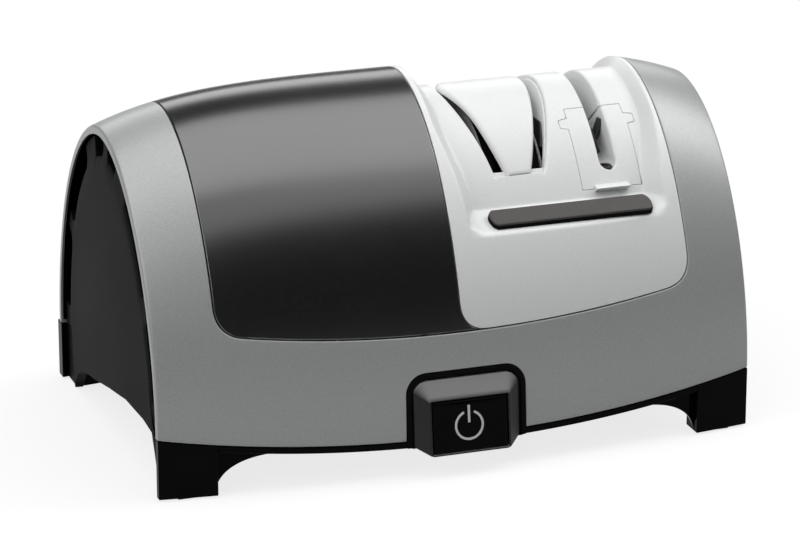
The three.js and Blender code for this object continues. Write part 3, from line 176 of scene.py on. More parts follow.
def join(*parts):
    """Arrays put end to end."""
    return np.concatenate(parts)


def across(x):
    """The place along the housing as a share of its half length."""
    return np.minimum(np.abs(x) / HALF_LENGTH, 1)


def side_depth(x):
    """Half depth of the housing: bowed by a power of the place along it."""
    return END_HALF_DEPTH + PLAN_BOW * (1 - across(x) ** PLAN_POWER)


def edge_height(x):
    """The housing's lower edge: a parabola that dips in the middle."""
    return EDGE_END - EDGE_BOW * (1 - across(x) ** 2)


def crest_height(x):
    """The housing's crest: a fourth power of the place along it."""
    return CREST_END + CREST_BOW * (1 - across(x) ** 4)


def arch(x, t, depth, low, top):
    """A superellipse arch: angle t runs from 0 at the front foot to pi at the rear one."""
    c, s = np.cos(t), np.sin(t)
    y = -depth * np.sign(c) * np.abs(c) ** ROUND
    return xyz(x, y, low + (top - low) * np.abs(s) ** ROUND)


def body(x, t, inset=0.0):
    """The housing surface, moved inwards by an inset."""
    return arch(x, t, side_depth(x) - inset, edge_height(x), crest_height(x) - inset)


def drum(x, t, inset=0.0):
    """The sunk recess floor, moved inwards by an inset."""
    return arch(x, t, DRUM_HALF_DEPTH - inset, DRUM_SPRING, DRUM_CREST - inset)


def arch_angle(z, low, top):
    """The angle at which an arch reaches a height."""
    share = np.clip((z - low) / (top - low), 0, 1)
    return np.arcsin(share ** (1 / ROUND))


def body_angle(x, z):
    """The angle at which the housing reaches a height."""
    return arch_angle(z, edge_height(x), crest_height(x))


def drum_angle(z):
    """The angle at which the recess floor reaches a height."""
    return arch_angle(z, DRUM_SPRING, DRUM_CREST)


def window_low(x):
    """The window's lower edge: a shallow parabola."""
    return WINDOW_LOW + WINDOW_RISE * (x / WINDOW_RUN) ** 2


# Meshes from grids.

def outwards(points, faces):
    """Turns every face round where the closed surface's volume comes out negative."""
    volume = 0.0
    for group in faces:
        first = points[group[:, 0]]
        for k in range(1, group.shape[1] - 1):
            turn = np.cross(points[group[:, k]], points[group[:, k + 1]])
            volume += (first * turn).sum()
    return points, [group[:, ::-1] if volume < 0 else group for group in faces]


def plate(outer, inner, keep=None):
    """A closed plate between two facing grids of points (rows, columns, 3).

    Each kept cell gives one face on both grids, and a wall face on every side where the next
    cell isn't kept.
    """
    rows, columns = outer.shape[:2]
    count = rows * columns
    index = np.arange(count).reshape(rows, columns)
    quad = np.stack([index[:-1, :-1], index[:-1, 1:], index[1:, 1:], index[1:, :-1]], -1)
    keep = np.ones(quad.shape[:2], bool) if keep is None else keep
    faces = [quad[keep], quad[keep][:, ::-1] + count]
    around = np.pad(keep, 1)
    beside = [around[:-2, 1:-1], around[1:-1, 2:], around[2:, 1:-1], around[1:-1, :-2]]
    for k, other in enumerate(beside):
        i, j = quad[keep & ~other][:, [k, (k + 1) % 4]].T
        faces.append(np.stack([j, i, i + count, j + count], -1))
    return outwards(join(outer.reshape(-1, 3), inner.reshape(-1, 3)), faces)


def tube(rings, closed=False):
    """Rings of points (rings, points, 3) skinned in turn; ends are capped unless closed."""
    count, size = rings.shape[:2]
    index = np.arange(count * size).reshape(count, size)
    after = np.roll(index, -1, axis=1)
    quad = np.stack([index, after, np.roll(after, -1, axis=0), np.roll(index, -1, axis=0)], -1)
    if closed:
        return outwards(rings.reshape(-1, 3), [quad.reshape(-1, 4)])
    return outwards(rings.reshape(-1, 3), [quad[:-1].reshape(-1, 4), index[:1, ::-1], index[-1:]])


def lathe(profile, centre, axis, steps=64):
    """A profile of (radius, length) pairs turned about an axis through the centre."""
    turn = np.linspace(0, 2 * np.pi, steps, endpoint=False)[:, None]
    axis = np.array(axis, float) / np.linalg.norm(axis)
    side = np.cross(axis, [0.0, 0.0, 1.0] if abs(axis[2]) < 0.9 else [1.0, 0.0, 0.0])
    side = side / np.linalg.norm(side)
    circle = np.cos(turn) * side + np.sin(turn) * np.cross(axis, side)
    radius, length = np.array(profile, float).T[..., None, None]
    return tube(radius * circle + length * axis + np.array(centre, float))


def outward(sheet):
    """Unit normals of a sheet, from the differences along both of its grid lines."""
    normal = np.cross(np.gradient(sheet, axis=1), np.gradient(sheet, axis=0))
    return normal / np.maximum(np.linalg.norm(normal, axis=-1), 1e-9)[..., None]


def even(count):
    """Even shares from nought to one, in a number of steps."""
    return np.linspace(0, 1, count + 1)


def towards_edge(count=5):
    """Shares across a quarter-round fillet, from its start to the edge: sines of even angles."""
    return np.sin(even(count) * np.pi / 2)


def from_edge(count=5):
    """Shares across a quarter-round fillet, from the edge: one less the cosines of even angles."""
    return 1 - np.cos(even(count) * np.pi / 2)


def columns_between(stops, spacings):
    """Columns between stops, each spaced by its own shares, and the index of every stop."""
    parts = [mix(a, b, share[None, :-1]) for a, b, share in zip(stops, stops[1:], spacings)]
    index = np.cumsum([0] + [len(share) - 1 for share in spacings])
    return np.concatenate(parts + [stops[-1]], axis=1), index


def fillet_drop(size, index, starts, ends, radius):
    """How far each column lies below the surface: a quarter round after and before given stops."""
    drop = np.zeros(size)
    quarter = radius * from_edge()
    for k in starts:
        drop[index[k]:index[k] + len(quarter)] = quarter
    for k in ends:
        drop[index[k]:index[k] + len(quarter)] = quarter[::-1]
    return drop


def slab(x, near, far, z):
    """A plate between two depths, with the same places x and z on both of its faces."""
    return plate(xyz(x, near, z), xyz(x, far, z))


def block(low, high):
    """A block between two corners, as a plate of three by three points."""
    x = np.linspace(low[0], high[0], 3)[None, :]
    y = np.linspace(low[1], high[1], 3)[:, None]
    return plate(xyz(x, y, low[2]), xyz(x, y, high[2]))


def add_object(name, data):
    """Puts a new object with this data into the scene."""
    made = bpy.data.objects.new(name, data)
    bpy.context.scene.collection.objects.link(made)
    return made


def piece(name, shapes, finish, stands_for=(), edge=0.0, steps=3, angle=40, rides="housing"):
    """Joins shapes into one mesh object, welds it, rounds its edges and hands it to the frame."""
    starts = np.cumsum([0] + [len(points) for points, _ in shapes])
    faces = [face for start, (_, groups) in zip(starts, shapes)
             for group in groups for face in (group + start).tolist()]
    mesh = bpy.data.meshes.new(name)
    mesh.from_pydata((np.concatenate([points for points, _ in shapes]) * METRE).tolist(), [], faces)
    work = bmesh.new()
    work.from_mesh(mesh)
    bmesh.ops.remove_doubles(work, verts=work.verts, dist=1e-6)
    bmesh.ops.dissolve_degenerate(work, dist=1e-6, edges=work.edges)
    bmesh.ops.delete(work, geom=[v for v in work.verts if not v.link_faces], context="VERTS")
    work.to_mesh(mesh)
    work.free()
    mesh.shade_smooth()
    mesh.set_sharp_from_angle(angle=math.radians(angle))
    made = add_object(name, mesh)
    if edge:
        rounding = made.modifiers.new("rounded edges", "BEVEL")
        rounding.width = edge * METRE
        rounding.segments = steps
        rounding.limit_method = "ANGLE"
        rounding.angle_limit = math.radians(angle)
        rounding.use_clamp_overlap = False
        rounding.harden_normals = True
        rounding.miter_outer = "MITER_ARC"
    made.data.materials.append(finishes[finish][0])
    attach(made, rides)
    if stands_for:
        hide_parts(*stands_for)
    return made


# Finishes.

CLOUD = 60.0
FLAKE = 0.35
finishes = {}


def rgb(code):
    """A colour written as six hex digits, in linear light."""
    parts = np.array([int(code[i:i + 2], 16) for i in (0, 2, 4)]) / 255
    linear = np.where(parts <= 0.04045, parts / 12.92, ((parts + 0.055) / 1.055) ** 2.4)
    return (*linear, 1.0)


def fill(tree, node, values):
    """Sets a node's inputs: a socket is linked, and anything else is the input's own value."""
    for name, value in values.items():
        if isinstance(value, bpy.types.NodeSocket):
            tree.links.new(value, node.inputs[name])
        else:
            node.inputs[name].default_value = value


def add_node(tree, kind, values, **settings):
    """Adds a node of a kind with its settings and inputs, and returns its outputs."""
    node = tree.nodes.new("ShaderNode" + kind)
    for name, value in settings.items():
        setattr(node, name, value)
    fill(tree, node, values)
    return node.outputs


def tinted(tree, share, colour, tint):
    """A colour mixed with a tint by a share."""
    return add_node(tree, "Mix", {"Factor": share, "A": colour, "B": tint}, data_type="RGBA")["Result"]


def new_material(name):
    """A new node material, its tree and its shader."""
    material = bpy.data.materials.new(name)
    material.use_nodes = True
    return material, material.node_tree, material.node_tree.nodes["Principled BSDF"]


def add_finish(key, slot, dark, light, grain, rough, metal, bump, depth,
               stretch=(1, 1, 1), flake=0.0, specular=0.5, index=1.5, painted_top_highlight=""):
    """One procedural finish on Object coordinates.

    A fine noise at the grain size in millimetres mixes the two colours and lifts the surface, a
    slow noise varies the roughness between its two values, and flake adds bright specks. Where a
    surface faces up, the colour turns to a painted highlight colour: painted light that stands in
    for the sheen of the overhead lamp on the top faces.
    """
    material, tree, shader = new_material(key)
    place = add_node(tree, "TexCoord", {})
    mapped = add_node(tree, "Mapping", {"Scale": stretch, "Vector": place["Object"]})["Vector"]
    fine = add_node(tree, "TexNoise", {"Vector": mapped, "Scale": 1000 / grain, "Detail": 3,
                                       "Roughness": 0.6})
    slow = add_node(tree, "TexNoise", {"Vector": mapped, "Scale": 1000 / CLOUD, "Detail": 4})
    ramp = tree.nodes.new("ShaderNodeValToRGB")
    for stop, position, code in zip(ramp.color_ramp.elements, (0.32, 0.68), (dark, light)):
        stop.position = position
        stop.color = rgb(code)
    tree.links.new(fine["Fac"], ramp.inputs["Fac"])
    colour = ramp.outputs["Color"]
    if flake:
        cells = add_node(tree, "TexVoronoi", {"Vector": mapped, "Scale": 1000 / FLAKE})
        speck = add_node(tree, "MapRange", {"Value": cells["Color"], "From Min": 0.75, "From Max": 1.0,
                                            "To Max": flake})
        colour = tinted(tree, speck["Result"], colour, rgb("c8cccc"))
    # Painted highlight: faces that point up take a lighter colour in place of the lamp's sheen on them.
    if painted_top_highlight:
        parts = add_node(tree, "SeparateXYZ", {"Vector": place["Normal"]})
        painted_highlight_share = add_node(tree, "MapRange", {"Value": parts["Z"], "From Min": 0.15, "From Max": 0.6},
                            interpolation_type="SMOOTHSTEP")
        colour = tinted(tree, painted_highlight_share["Result"], colour, rgb(painted_top_highlight))
    spread = add_node(tree, "MapRange", {"Value": slow["Fac"], "To Min": rough[0], "To Max": rough[1]})
    fill(tree, shader, {"Base Color": colour, "Roughness": spread["Result"], "Metallic": metal,
                        "Specular IOR Level": specular, "IOR": index})
    if bump:
        relief = add_node(tree, "Bump", {"Strength": bump, "Distance": depth * METRE, "Height": fine["Fac"]})
        tree.links.new(relief["Normal"], shader.inputs["Normal"])
    finishes[key] = (material, slot)


# Name, slot, dark and light colour, grain, least and most roughness, metal, bump and its depth,
# and what else differs from a plain finish.
FINISHES = (
    ("grey paint", "grey_shell", "969898", "a4a6a6", 0.5, (0.34, 0.4), 0.2, 0.25, 0.02,
     dict(flake=0.12, specular=0.6)),
    ("black flake paint", "black_panel", "040505", "090a0a", 0.4, (0.22, 0.27), 0.0, 0.25, 0.02,
     dict(flake=0.03, specular=1.0, index=1.66)),
    ("white satin", "white_deck", "d2d3d3", "d9dada", 0.6, (0.34, 0.42), 0.0, 0.12, 0.02, {}),
    ("rest rubber", "grey_rubber", "3a3836", "464442", 0.35, (0.55, 0.68), 0.0, 0.5, 0.05, {}),
    ("foot rubber", "foot_rubber", "0e0e0e", "1a1a1a", 0.4, (0.75, 0.9), 0.0, 0.5, 0.06, {}),
    ("gloss black", "black_gloss", "060607", "0a0a0b", 8.0, (0.08, 0.14), 0.0, 0.04, 0.02,
     dict(specular=0.03)),
    ("textured black", "black_matt", "070708", "0d0d0e", 0.45, (0.5, 0.62), 0.0, 0.8, 0.06,
     dict(specular=0.035)),
    # Near-black and without gloss: painted shade for the dark inside behind the vents.
    ("vent shade black", "black_matt", "020202", "030303", 0.45, (0.85, 0.95), 0.0, 0.0, 0.05,
     dict(specular=0.0)),
    # The bezel's top faces get a painted highlight of mid grey, standing in for the overhead lamp's sheen on
    # black plastic.
    ("bezel black with painted highlight", "black_matt", "0e0e0f", "19191a", 0.4, (0.4, 0.48), 0.0, 0.7, 0.05,
     dict(specular=0.3, painted_top_highlight="808080")),
    ("ivory plastic", "ivory_plastic", "cfc8b0", "ddd7c4", 1.2, (0.45, 0.6), 0.0, 0.2, 0.03, {}),
    ("dark ceramic", "ceramic", "161719", "202124", 0.3, (0.25, 0.4), 0.0, 0.3, 0.02, {}),
    ("abrasive grit", "abrasive", "3c3d3e", "9a9c9c", 0.35, (0.75, 0.95), 0.2, 1.0, 0.12, dict(flake=0.3)),
    ("spring steel", "spring_steel", "8c8f92", "b4b7ba", 0.5, (0.22, 0.36), 1.0, 0.2, 0.01,
     dict(stretch=(1, 12, 12))),
    ("blued steel", "spring_steel", "2c2a29", "3a3836", 0.5, (0.35, 0.5), 0.7, 0.2, 0.01,
     dict(stretch=(1, 12, 12))),
    ("screw steel", "screw_steel", "787a7c", "a8aaad", 0.4, (0.25, 0.4), 1.0, 0.2, 0.01, {}),
    ("machined steel", "machined_steel", "9b9da0", "c2c4c6", 0.3, (0.18, 0.3), 1.0, 0.3, 0.01,
     dict(stretch=(8, 1, 1))),
    ("plated steel", "plated_steel", "8f8c80", "b4b1a6", 1.4, (0.25, 0.42), 1.0, 0.1, 0.02, {}),
    ("steel laminations", "laminations", "2f3133", "6b6e70", 0.5, (0.45, 0.6), 0.8, 1.0, 0.06,
     dict(stretch=(1, 0.02, 0.02))),
    ("sintered bronze", "bronze", "8b6530", "ab8243", 0.35, (0.35, 0.5), 0.9, 0.5, 0.03, {}),
    ("enamelled copper", "copper_wire", "8a4a20", "b8703a", 0.45, (0.3, 0.42), 0.9, 1.0, 0.1,
     dict(stretch=(1, 0.05, 1))),
    ("lead sheath", "lead_sheath", "1c1c1d", "2a2a2b", 0.9, (0.45, 0.6), 0.0, 0.3, 0.03, {}),
)

CARRIED = {
    "ivory plastic": ("switch_body", "coil_bobbin"),
    "gloss black": ("switch_plunger",),
    "textured black": ("cooling_fan",),
    "machined steel": ("wheel_hub", "spindle", "motor_shaft", "shaft_coupling"),
    "plated steel": ("grinder_frame", "left_bearing_bracket", "right_bearing_bracket"),
    "sintered bronze": ("left_spindle_bush", "right_spindle_bush", "left_motor_bush", "right_motor_bush"),
    "steel laminations": ("stator_stack", "rotor"),
    "enamelled copper": ("coil_winding",),
    "lead sheath": ("supply_lead", "motor_lead"),
    "screw steel": ("front_clamp_screw", "rear_clamp_screw", "front_left_screw", "front_right_screw",
                    "rear_left_screw", "rear_right_screw"),
}


# Covers.

def foot_run():
    """Places along the foot of the housing, each stretch between two marks in its own steps."""
    stretches = zip(FOOT_MARKS, FOOT_MARKS[1:], FOOT_STEPS)
    return np.concatenate([np.linspace(a, b, n + 1)[1:] for a, b, n in stretches])


def window_half():
    """The window's edge on one side of the crest, from left to right, as places (x, angle).

    Straight sides come down to a corner, which is a quadratic curve about the corner point, and
    the low edge between the corners is a shallow parabola.
    """
    left = -WINDOW_HALF
    low = window_low(left)
    high = body_angle(left, low + WINDOW_CORNER)
    q = even(24)
    corner_x = left + WINDOW_CORNER * q ** 2
    corner_z = (1 - q) ** 2 * (low + WINDOW_CORNER) + 2 * q * (1 - q) * low
    corner_z += q ** 2 * window_low(left + WINDOW_CORNER)
    head_x = join(np.full(SIDE_ROWS, left), corner_x[1:])
    head_t = join(np.linspace(np.pi / 2, high, SIDE_ROWS), body_angle(corner_x, corner_z)[1:])
    run = foot_run()
    return (join(head_x, run, -head_x[-2::-1]),
            join(head_t, body_angle(run, window_low(run)), head_t[-2::-1]))


def rim_half(front):
    """The housing's outer edge that faces window_half point by point.

    It runs down the end face, along the foot of the arch and, at the front, round the notch that
    the button's bezel fills.
    """
    end = -HALF_LENGTH
    high = body_angle(end, window_low(-WINDOW_HALF) + WINDOW_CORNER)
    head_x = join(np.full(SIDE_ROWS + 12, end), np.linspace(end, FOOT_MARKS[0], 13)[1:])
    head_t = join(np.linspace(np.pi / 2, high, SIDE_ROWS), np.linspace(high, 0, 13)[1:], np.zeros(12))
    if front:
        half, top = BEZEL_HALF + GAP, BEZEL_TOP + GAP
        turn = np.linspace(0, np.pi / 2, 9)[1:]
        foot = np.linspace(FOOT_MARKS[0], -half, 25)[1:]
        left_x = join(foot, np.full(6, -half), -half + BEZEL_CORNER * (1 - np.cos(turn)))
        left_z = join(edge_height(foot), np.linspace(edge_height(half), top - BEZEL_CORNER, 7)[1:],
                      top - BEZEL_CORNER * (1 - np.sin(turn)))
        crown = np.linspace(-half + BEZEL_CORNER, half - BEZEL_CORNER, 13)[1:]
        x = join(left_x, crown, -left_x[-2::-1], FOOT_MARKS[-1:])
        t = body_angle(x, join(left_z, np.full(12, top), left_z[-2::-1], [0.0]))
    else:
        x = foot_run()
        t = np.zeros(len(x))
    return join(head_x, x, -head_x[-2::-1]), join(head_t, t, head_t[-2::-1])


def all_round(front, rear):
    """One closed line of places (x, angle) from its halves at the front and at the rear."""
    return (join(front[0], rear[0][-2:0:-1]),
            join(front[1], np.pi - rear[1][-2:0:-1]))


def shell_shape():
    """The shell between its outer edge and the window, as a grid that closes both ways.

    Each line of the grid runs straight in (x, angle) from the outer edge to the window. Across
    the line the section goes out over a rounded rim, over the outside, round the window's rim,
    and back along the inside at the wall's thickness. The rim is rounder at the end faces.
    """
    win_x, win_t = all_round(window_half(), window_half())
    rim_x, rim_t = all_round(rim_half(True), rim_half(False))
    length = np.linalg.norm(body(win_x, win_t) - body(rim_x, rim_t), axis=-1)
    lip = smooth((np.abs(rim_x) - HALF_LENGTH + 4) / 3.5)
    rim_round, inner_round, window_round = mix(0.45, 0.9, lip), mix(0.05, 0.8, lip), 0.55
    run = length - rim_round - window_round
    flush = np.zeros_like(length)
    phi = np.linspace(np.pi / 2, 0, 6)
    rows = [(rim_round * (1 - np.sin(a)) / length, rim_round * (1 - np.cos(a))) for a in phi]
    rows += [((rim_round + run * g) / length, flush) for g in even(19)[1:-1]]
    rows += [(1 - window_round * (1 - np.sin(a)) / length, flush + window_round * (1 - np.cos(a)))
             for a in phi[::-1]]
    rows += [(np.where(g > 0, g, inner_round / length), flush + WALL) for g in even(7)[::-1]]
    rows += [(flush, WALL - inner_round * (1 - np.sin(a)) * 0.9) for a in phi[1:-1]]
    share, inset = np.array(rows).swapaxes(0, 1)
    return tube(body(mix(rim_x, win_x, share), mix(rim_t, win_t, share), inset), closed=True)


def corner_rows(left, right, right_stop, rows, columns):
    """Rows up the rounded lower corners of a cover: places x and heights z of a grid.

    Each corner is a quadratic curve; the dark cover's right one stops short and runs out below
    the white one's left corner.
    """
    q = np.linspace(1, 0, rows)[:, None]
    q_right = q * right_stop
    x_right = right + WINDOW_CORNER * q_right ** 2 * (1 if right < 0 else -1)
    x = mix(left + WINDOW_CORNER * q ** 2, x_right, columns)
    return x, window_low(x) + GAP + WINDOW_CORNER * mix((1 - q) ** 2, (1 - q_right) ** 2, columns)


def panel_shape():
    """The dark cover: rows up its corners, then arch angles to the crest, and the mirror image."""
    x, z = corner_rows(-WINDOW_HALF + GAP, -INSERT_LEFT, 0.93, 14, even(48)[None, :])
    t = body_angle(x, z)
    rest = smooth(even(39) * 0.5)[1:, None] * 2
    x = join(x, np.repeat(x[-1:], len(rest), axis=0))
    t = join(t, mix(t[-1:], np.pi / 2, rest))
    x, t = join(x, x[-2::-1]), join(t, np.pi - t[-2::-1])
    return plate(body(x, t), body(x, t, COVER_WALL))


def wedge_side(side, z):
    """Place of the wedge's edge: a straight lean, drawn out near the crest on the left."""
    rise = z - WEDGE_FOOT
    if side > 0:
        return WEDGE_RIGHT + RIGHT_LEAN * rise
    return WEDGE_LEFT - WEDGE_LEAN * rise - 4.2 * (np.maximum(rise, 0) / 24.4) ** 8


def mouth_side(side, z):
    """Place of a coarse slot's outer edge: a straight lean on the right, a parabola on the left."""
    if side > 0:
        return MOUTH_RIGHT + RIGHT_LEAN * (z - 98.5)
    return MOUTH_LEFT - 0.22 * (z - 100) - 0.009 * (z - 100) ** 2


def guide_side(side, z):
    """Place of the slot wall further in, where the spring leaf stands."""
    return COARSE_X + side * (5.2 + (z - 100) * SLOT_LEAN + SLOT_SPAN)


def wall_ramp(share):
    """The way up an end wall: nearly straight, with a small curve at its foot and top."""
    share = np.clip(share, 0, 1)
    return mix(smooth(share), share, 0.85)


def cartridge_half(z, grow=0.0):
    """Half width of the fine cartridge at a height: body, ears, then neck."""
    ear = smooth((z - EAR_LOW + grow + 0.2) / 0.4)
    neck = smooth((z - EAR_HIGH - grow + 0.2) / 0.4)
    below_neck = mix(CARTRIDGE_HALF, EAR_HALF, ear - neck)
    return below_neck + (NECK_HALF - CARTRIDGE_HALF) * neck + grow


def slot_half(z):
    """Half width of the fine slot at a height, with a round bottom."""
    rise = np.clip((z - FINE_SLOT_BOTTOM) / FINE_SLOT_HALF, 0.02, 1)
    return FINE_SLOT_HALF * np.sqrt(1 - (1 - rise) ** 2)


def heights(low, high, step, marks):
    """Heights from low to high at about a step, with every mark hit and its neighbours left out."""
    spaced = np.linspace(low, high, int(round((high - low) / step)) + 1)
    inside = [m for m in marks if low < m < high]
    kept = [z for z in spaced if all(abs(z - m) > step * 0.55 for m in inside)]
    return np.array(sorted(kept + inside))


def deck_lines(climb, z):
    """Columns of the deck at some rows, their weight in the recess, and the index of every stop.

    The stops are the ridges, the ends of the recess floor, the slot mouths and the cartridge's
    sides. The weight climbs from nought to one over each end wall of the recess.
    """
    left_ridge, left_floor = mix(*LEFT_RIDGE, climb), mix(*LEFT_FLOOR, climb)
    right_floor, right_ridge = mix(*RIGHT_FLOOR, climb), mix(*RIGHT_RIDGE, climb)
    mouth_z = np.maximum(z, COARSE_BOTTOM)
    mouth_left, mouth_right = mouth_side(-1, mouth_z), mouth_side(1, mouth_z)
    case = cartridge_half(np.clip(z, CARTRIDGE_LOW, CARTRIDGE_TOP), JOINT)
    slot = slot_half(z)
    stops = [np.full_like(z, INSERT_LEFT), left_ridge, left_floor, mouth_left - COARSE_FILLET, mouth_left,
             mouth_right, mouth_right + COARSE_FILLET, CARTRIDGE_X - case,
             FINE_SLOT_X - slot - FINE_FILLET, FINE_SLOT_X - slot, FINE_SLOT_X + slot,
             FINE_SLOT_X + slot + FINE_FILLET, CARTRIDGE_X + case,
             np.maximum(right_floor, CARTRIDGE_X + case + 0.5), right_ridge, np.full_like(z, INSERT_RIGHT)]
    spacings = [even(4), even(12), even(6), towards_edge(), even(24), from_edge(), even(4), even(5),
                towards_edge(), even(4), from_edge(), even(5), even(2), even(10), even(4)]
    x, index = columns_between(stops, spacings)
    weight = wall_ramp((x - left_ridge) / (left_floor - left_ridge))
    return x, weight * wall_ramp((right_ridge - x) / (right_ridge - right_floor)), index


def bend(a, b, c, count):
    """Rows along a quadratic curve from a to c about b, without the first one."""
    q = even(count)[1:, None, None]
    return (1 - q) ** 2 * a + 2 * q * (1 - q) * b + q * q * c


def deck_shape():
    """The white cover with its sunk recess.

    Its section is given twice, once over the housing surface and once down over the ledge and the
    recess drum, with a quadratic curve at the ledge's outer edge and at its inner corner. A weight
    that climbs over each end wall of the recess goes from the first to the second. The columns
    follow the mouths of the slots and the cartridge's outline, whose cells are left out.
    """
    marks = [CARTRIDGE_LOW - JOINT, *FINE_SLOT_ROWS, COARSE_BOTTOM, EAR_LOW - JOINT - 0.2,
             EAR_LOW - JOINT + 0.2, EAR_HIGH + JOINT - 0.2, EAR_HIGH + JOINT + 0.2, CARTRIDGE_TOP + JOINT]
    floor_t = join(drum_angle(heights(FLOOR_START, FLOOR_STOP, 1.1, marks)),
                   np.linspace(drum_angle(FLOOR_STOP), np.pi / 2, 9)[1:])
    floor_z = drum(0, floor_t)[:, 2]
    share = (floor_t - drum_angle(FLOOR_LINE)) / (np.pi / 2 - drum_angle(FLOOR_LINE))
    climb = smooth(np.minimum(share * 2, 1))[:, None]

    base_x, base_weight, stops = deck_lines(np.zeros((1, 1)), np.full((1, 1), 90.0))
    columns = (base_x - INSERT_LEFT) / (INSERT_RIGHT - INSERT_LEFT)
    x, z = corner_rows(INSERT_LEFT, INSERT_RIGHT, 1.0, 12, columns)
    skirt = [body(x, body_angle(x, z))]
    low_t = body_angle(x[-1:], z[-1:])
    stop_t = body_angle(base_x, LEDGE_EDGE - 1.3)
    s = even(17)[1:, None]
    skirt.append(body(mix(x[-1:], base_x, s), mix(low_t, stop_t, s)))

    # The ledge: outer edge curve, flat, inner corner curve.
    corner = body(base_x, body_angle(base_x, LEDGE_EDGE))
    inner = drum(base_x, drum_angle(FLOOR_LINE))
    unit = (inner - corner) / np.linalg.norm(inner - corner, axis=-1, keepdims=True)
    near, far = corner + unit * 1.5, inner - unit * 0.9
    sunk = join(bend(body(base_x, stop_t), corner, near, 7),
                mix(near, far, even(6)[1:, None, None]),
                bend(far, inner, drum(base_x, drum_angle(FLOOR_START)), 5))
    over = body(base_x, mix(stop_t, body_angle(base_x, OUTER_FLOOR), even(len(sunk))[1:, None]))
    ledge = mix(over, sunk, base_weight[..., None])

    # The recess floor up to the crest, and the mirror image.
    x, weight, _ = deck_lines(climb[1:], floor_z[1:, None])
    rest = (floor_t[1:, None] - floor_t[0]) / (np.pi / 2 - floor_t[0])
    over = body(x, mix(body_angle(x, OUTER_FLOOR), np.pi / 2, rest))
    floor = mix(over, drum(x, floor_t[1:, None]), weight[..., None])
    front = join(*skirt, ledge, floor)
    sheet = join(front, front[-2::-1] * np.array([1, -1, 1]))

    # The cells of the slots and of the cartridge are left out.
    lower = len(front) - len(floor_z)
    row_z = join(np.zeros(lower), floor_z)
    middle = (row_z[:-1] + row_z[1:]) / 2
    middle[:lower] = 0
    keep = np.ones((len(sheet) - 1, sheet.shape[1] - 1), bool)
    mouth, case, slot = (np.arange(stops[a], stops[b]) for a, b in ((4, 5), (7, 12), (9, 10)))
    for part, first in ((middle, 0), (middle[::-1], len(middle))):
        keep[np.ix_(np.flatnonzero(part > COARSE_BOTTOM) + first, mouth)] = False
        keep[np.ix_(np.flatnonzero(part > FINE_SLOT_BOTTOM) + first, slot)] = False
    held = (middle > CARTRIDGE_LOW - JOINT) & (middle < CARTRIDGE_TOP + JOINT)
    keep[np.ix_(np.flatnonzero(held), case)] = False

    size = sheet.shape[1]
    all_z = join(row_z, row_z[-2::-1])[:, None]
    coarse = fillet_drop(size, stops, [3], [5], COARSE_FILLET) * smooth(all_z - COARSE_BOTTOM + 0.3)
    fine = fillet_drop(size, stops, [8], [10], FINE_FILLET) * smooth((all_z - FINE_SLOT_BOTTOM) / 1.5)
    normal = outward(sheet)
    return plate(sheet - normal * (coarse + fine)[..., None], sheet - normal * COVER_WALL, keep)


def slot_shelf_shapes():
    """A narrow sunk shelf across the foot of the coarse slots, at the front and at the rear."""
    t = drum_angle(np.linspace(SHELF_LOW, SHELF_HIGH, 6))[:, None]
    x = np.linspace(mouth_side(-1, 99) - 1.0, mouth_side(1, 99) + 1.0, 24)[None, :]
    return [plate(drum(x, turn, 1.5), drum(x, turn, 3.6)) for turn in (t, np.pi - t)]


def over_drum(start, stop, count, inset=0.0):
    """Depths and heights along the drum at an inset, from a height at the front to one at the rear."""
    t = np.linspace(drum_angle(start), np.pi - drum_angle(stop), count)[:, None]
    point = drum(0, t, inset)
    return point[..., 1], point[..., 2]


def room_top(y, floor):
    """Height of the room cut for the wheels at a depth y, and never below a floor."""
    return np.maximum(SPINDLE_Z + np.sqrt(np.maximum(ROOM_RADIUS ** 2 - y * y, 0)), floor)


def slot_wall_shapes():
    """The leaning walls outside the coarse slots, and the upright ones beside the fine slot."""
    shapes = []
    y, high = over_drum(SLOT_WALL_LOW, SLOT_WALL_LOW, 60, 1.6)
    low = np.minimum(WALL_FOOT, high - 2.2)
    z = mix(low, high, even(4)[None, :])
    share = ((z - low) / (high - low)) ** 2
    for side in (-1, 1):
        face = mix(guide_side(side, z), mouth_side(side, z), share) + side * 0.06
        shapes.append(plate(xyz(face, y, z), xyz(face + side * SLOT_WALL, y, z)))

    # Beside the fine slot, down to its foot, and clear of the cartridge's top.
    y, high = over_drum(CARTRIDGE_TOP + 0.4, FINE_SLOT_BOTTOM + 1, 60, 2.0)
    clear = (deck_place(CARTRIDGE_TOP)[0] + 0.6 - y * up_deck[1]) / up_deck[2]
    low = np.minimum(np.maximum(clear, FINE_SLOT_BOTTOM), high - 0.5)
    z = mix(low, high, even(4)[None, :])
    for side in (-1, 1):
        face = FINE_SLOT_X + side * (FINE_SLOT_HALF + 0.06)
        shapes.append(plate(xyz(face, y, z), xyz(face + side * SLOT_WALL, y, z)))
    return shapes


def leaf_shape(side):
    """The spring leaf on one slot wall: a thin strip that stays below the deck all along."""
    y, high = over_drum(LEAF_START, LEAF_START, 40, 3.0)
    z = mix(LEAF_LOW, np.minimum(high, LEAF_TOP), even(3)[None, :])
    face = guide_side(side, z) - side * 0.3
    return plate(xyz(face, y, z), xyz(face - side * 0.5, y, z))


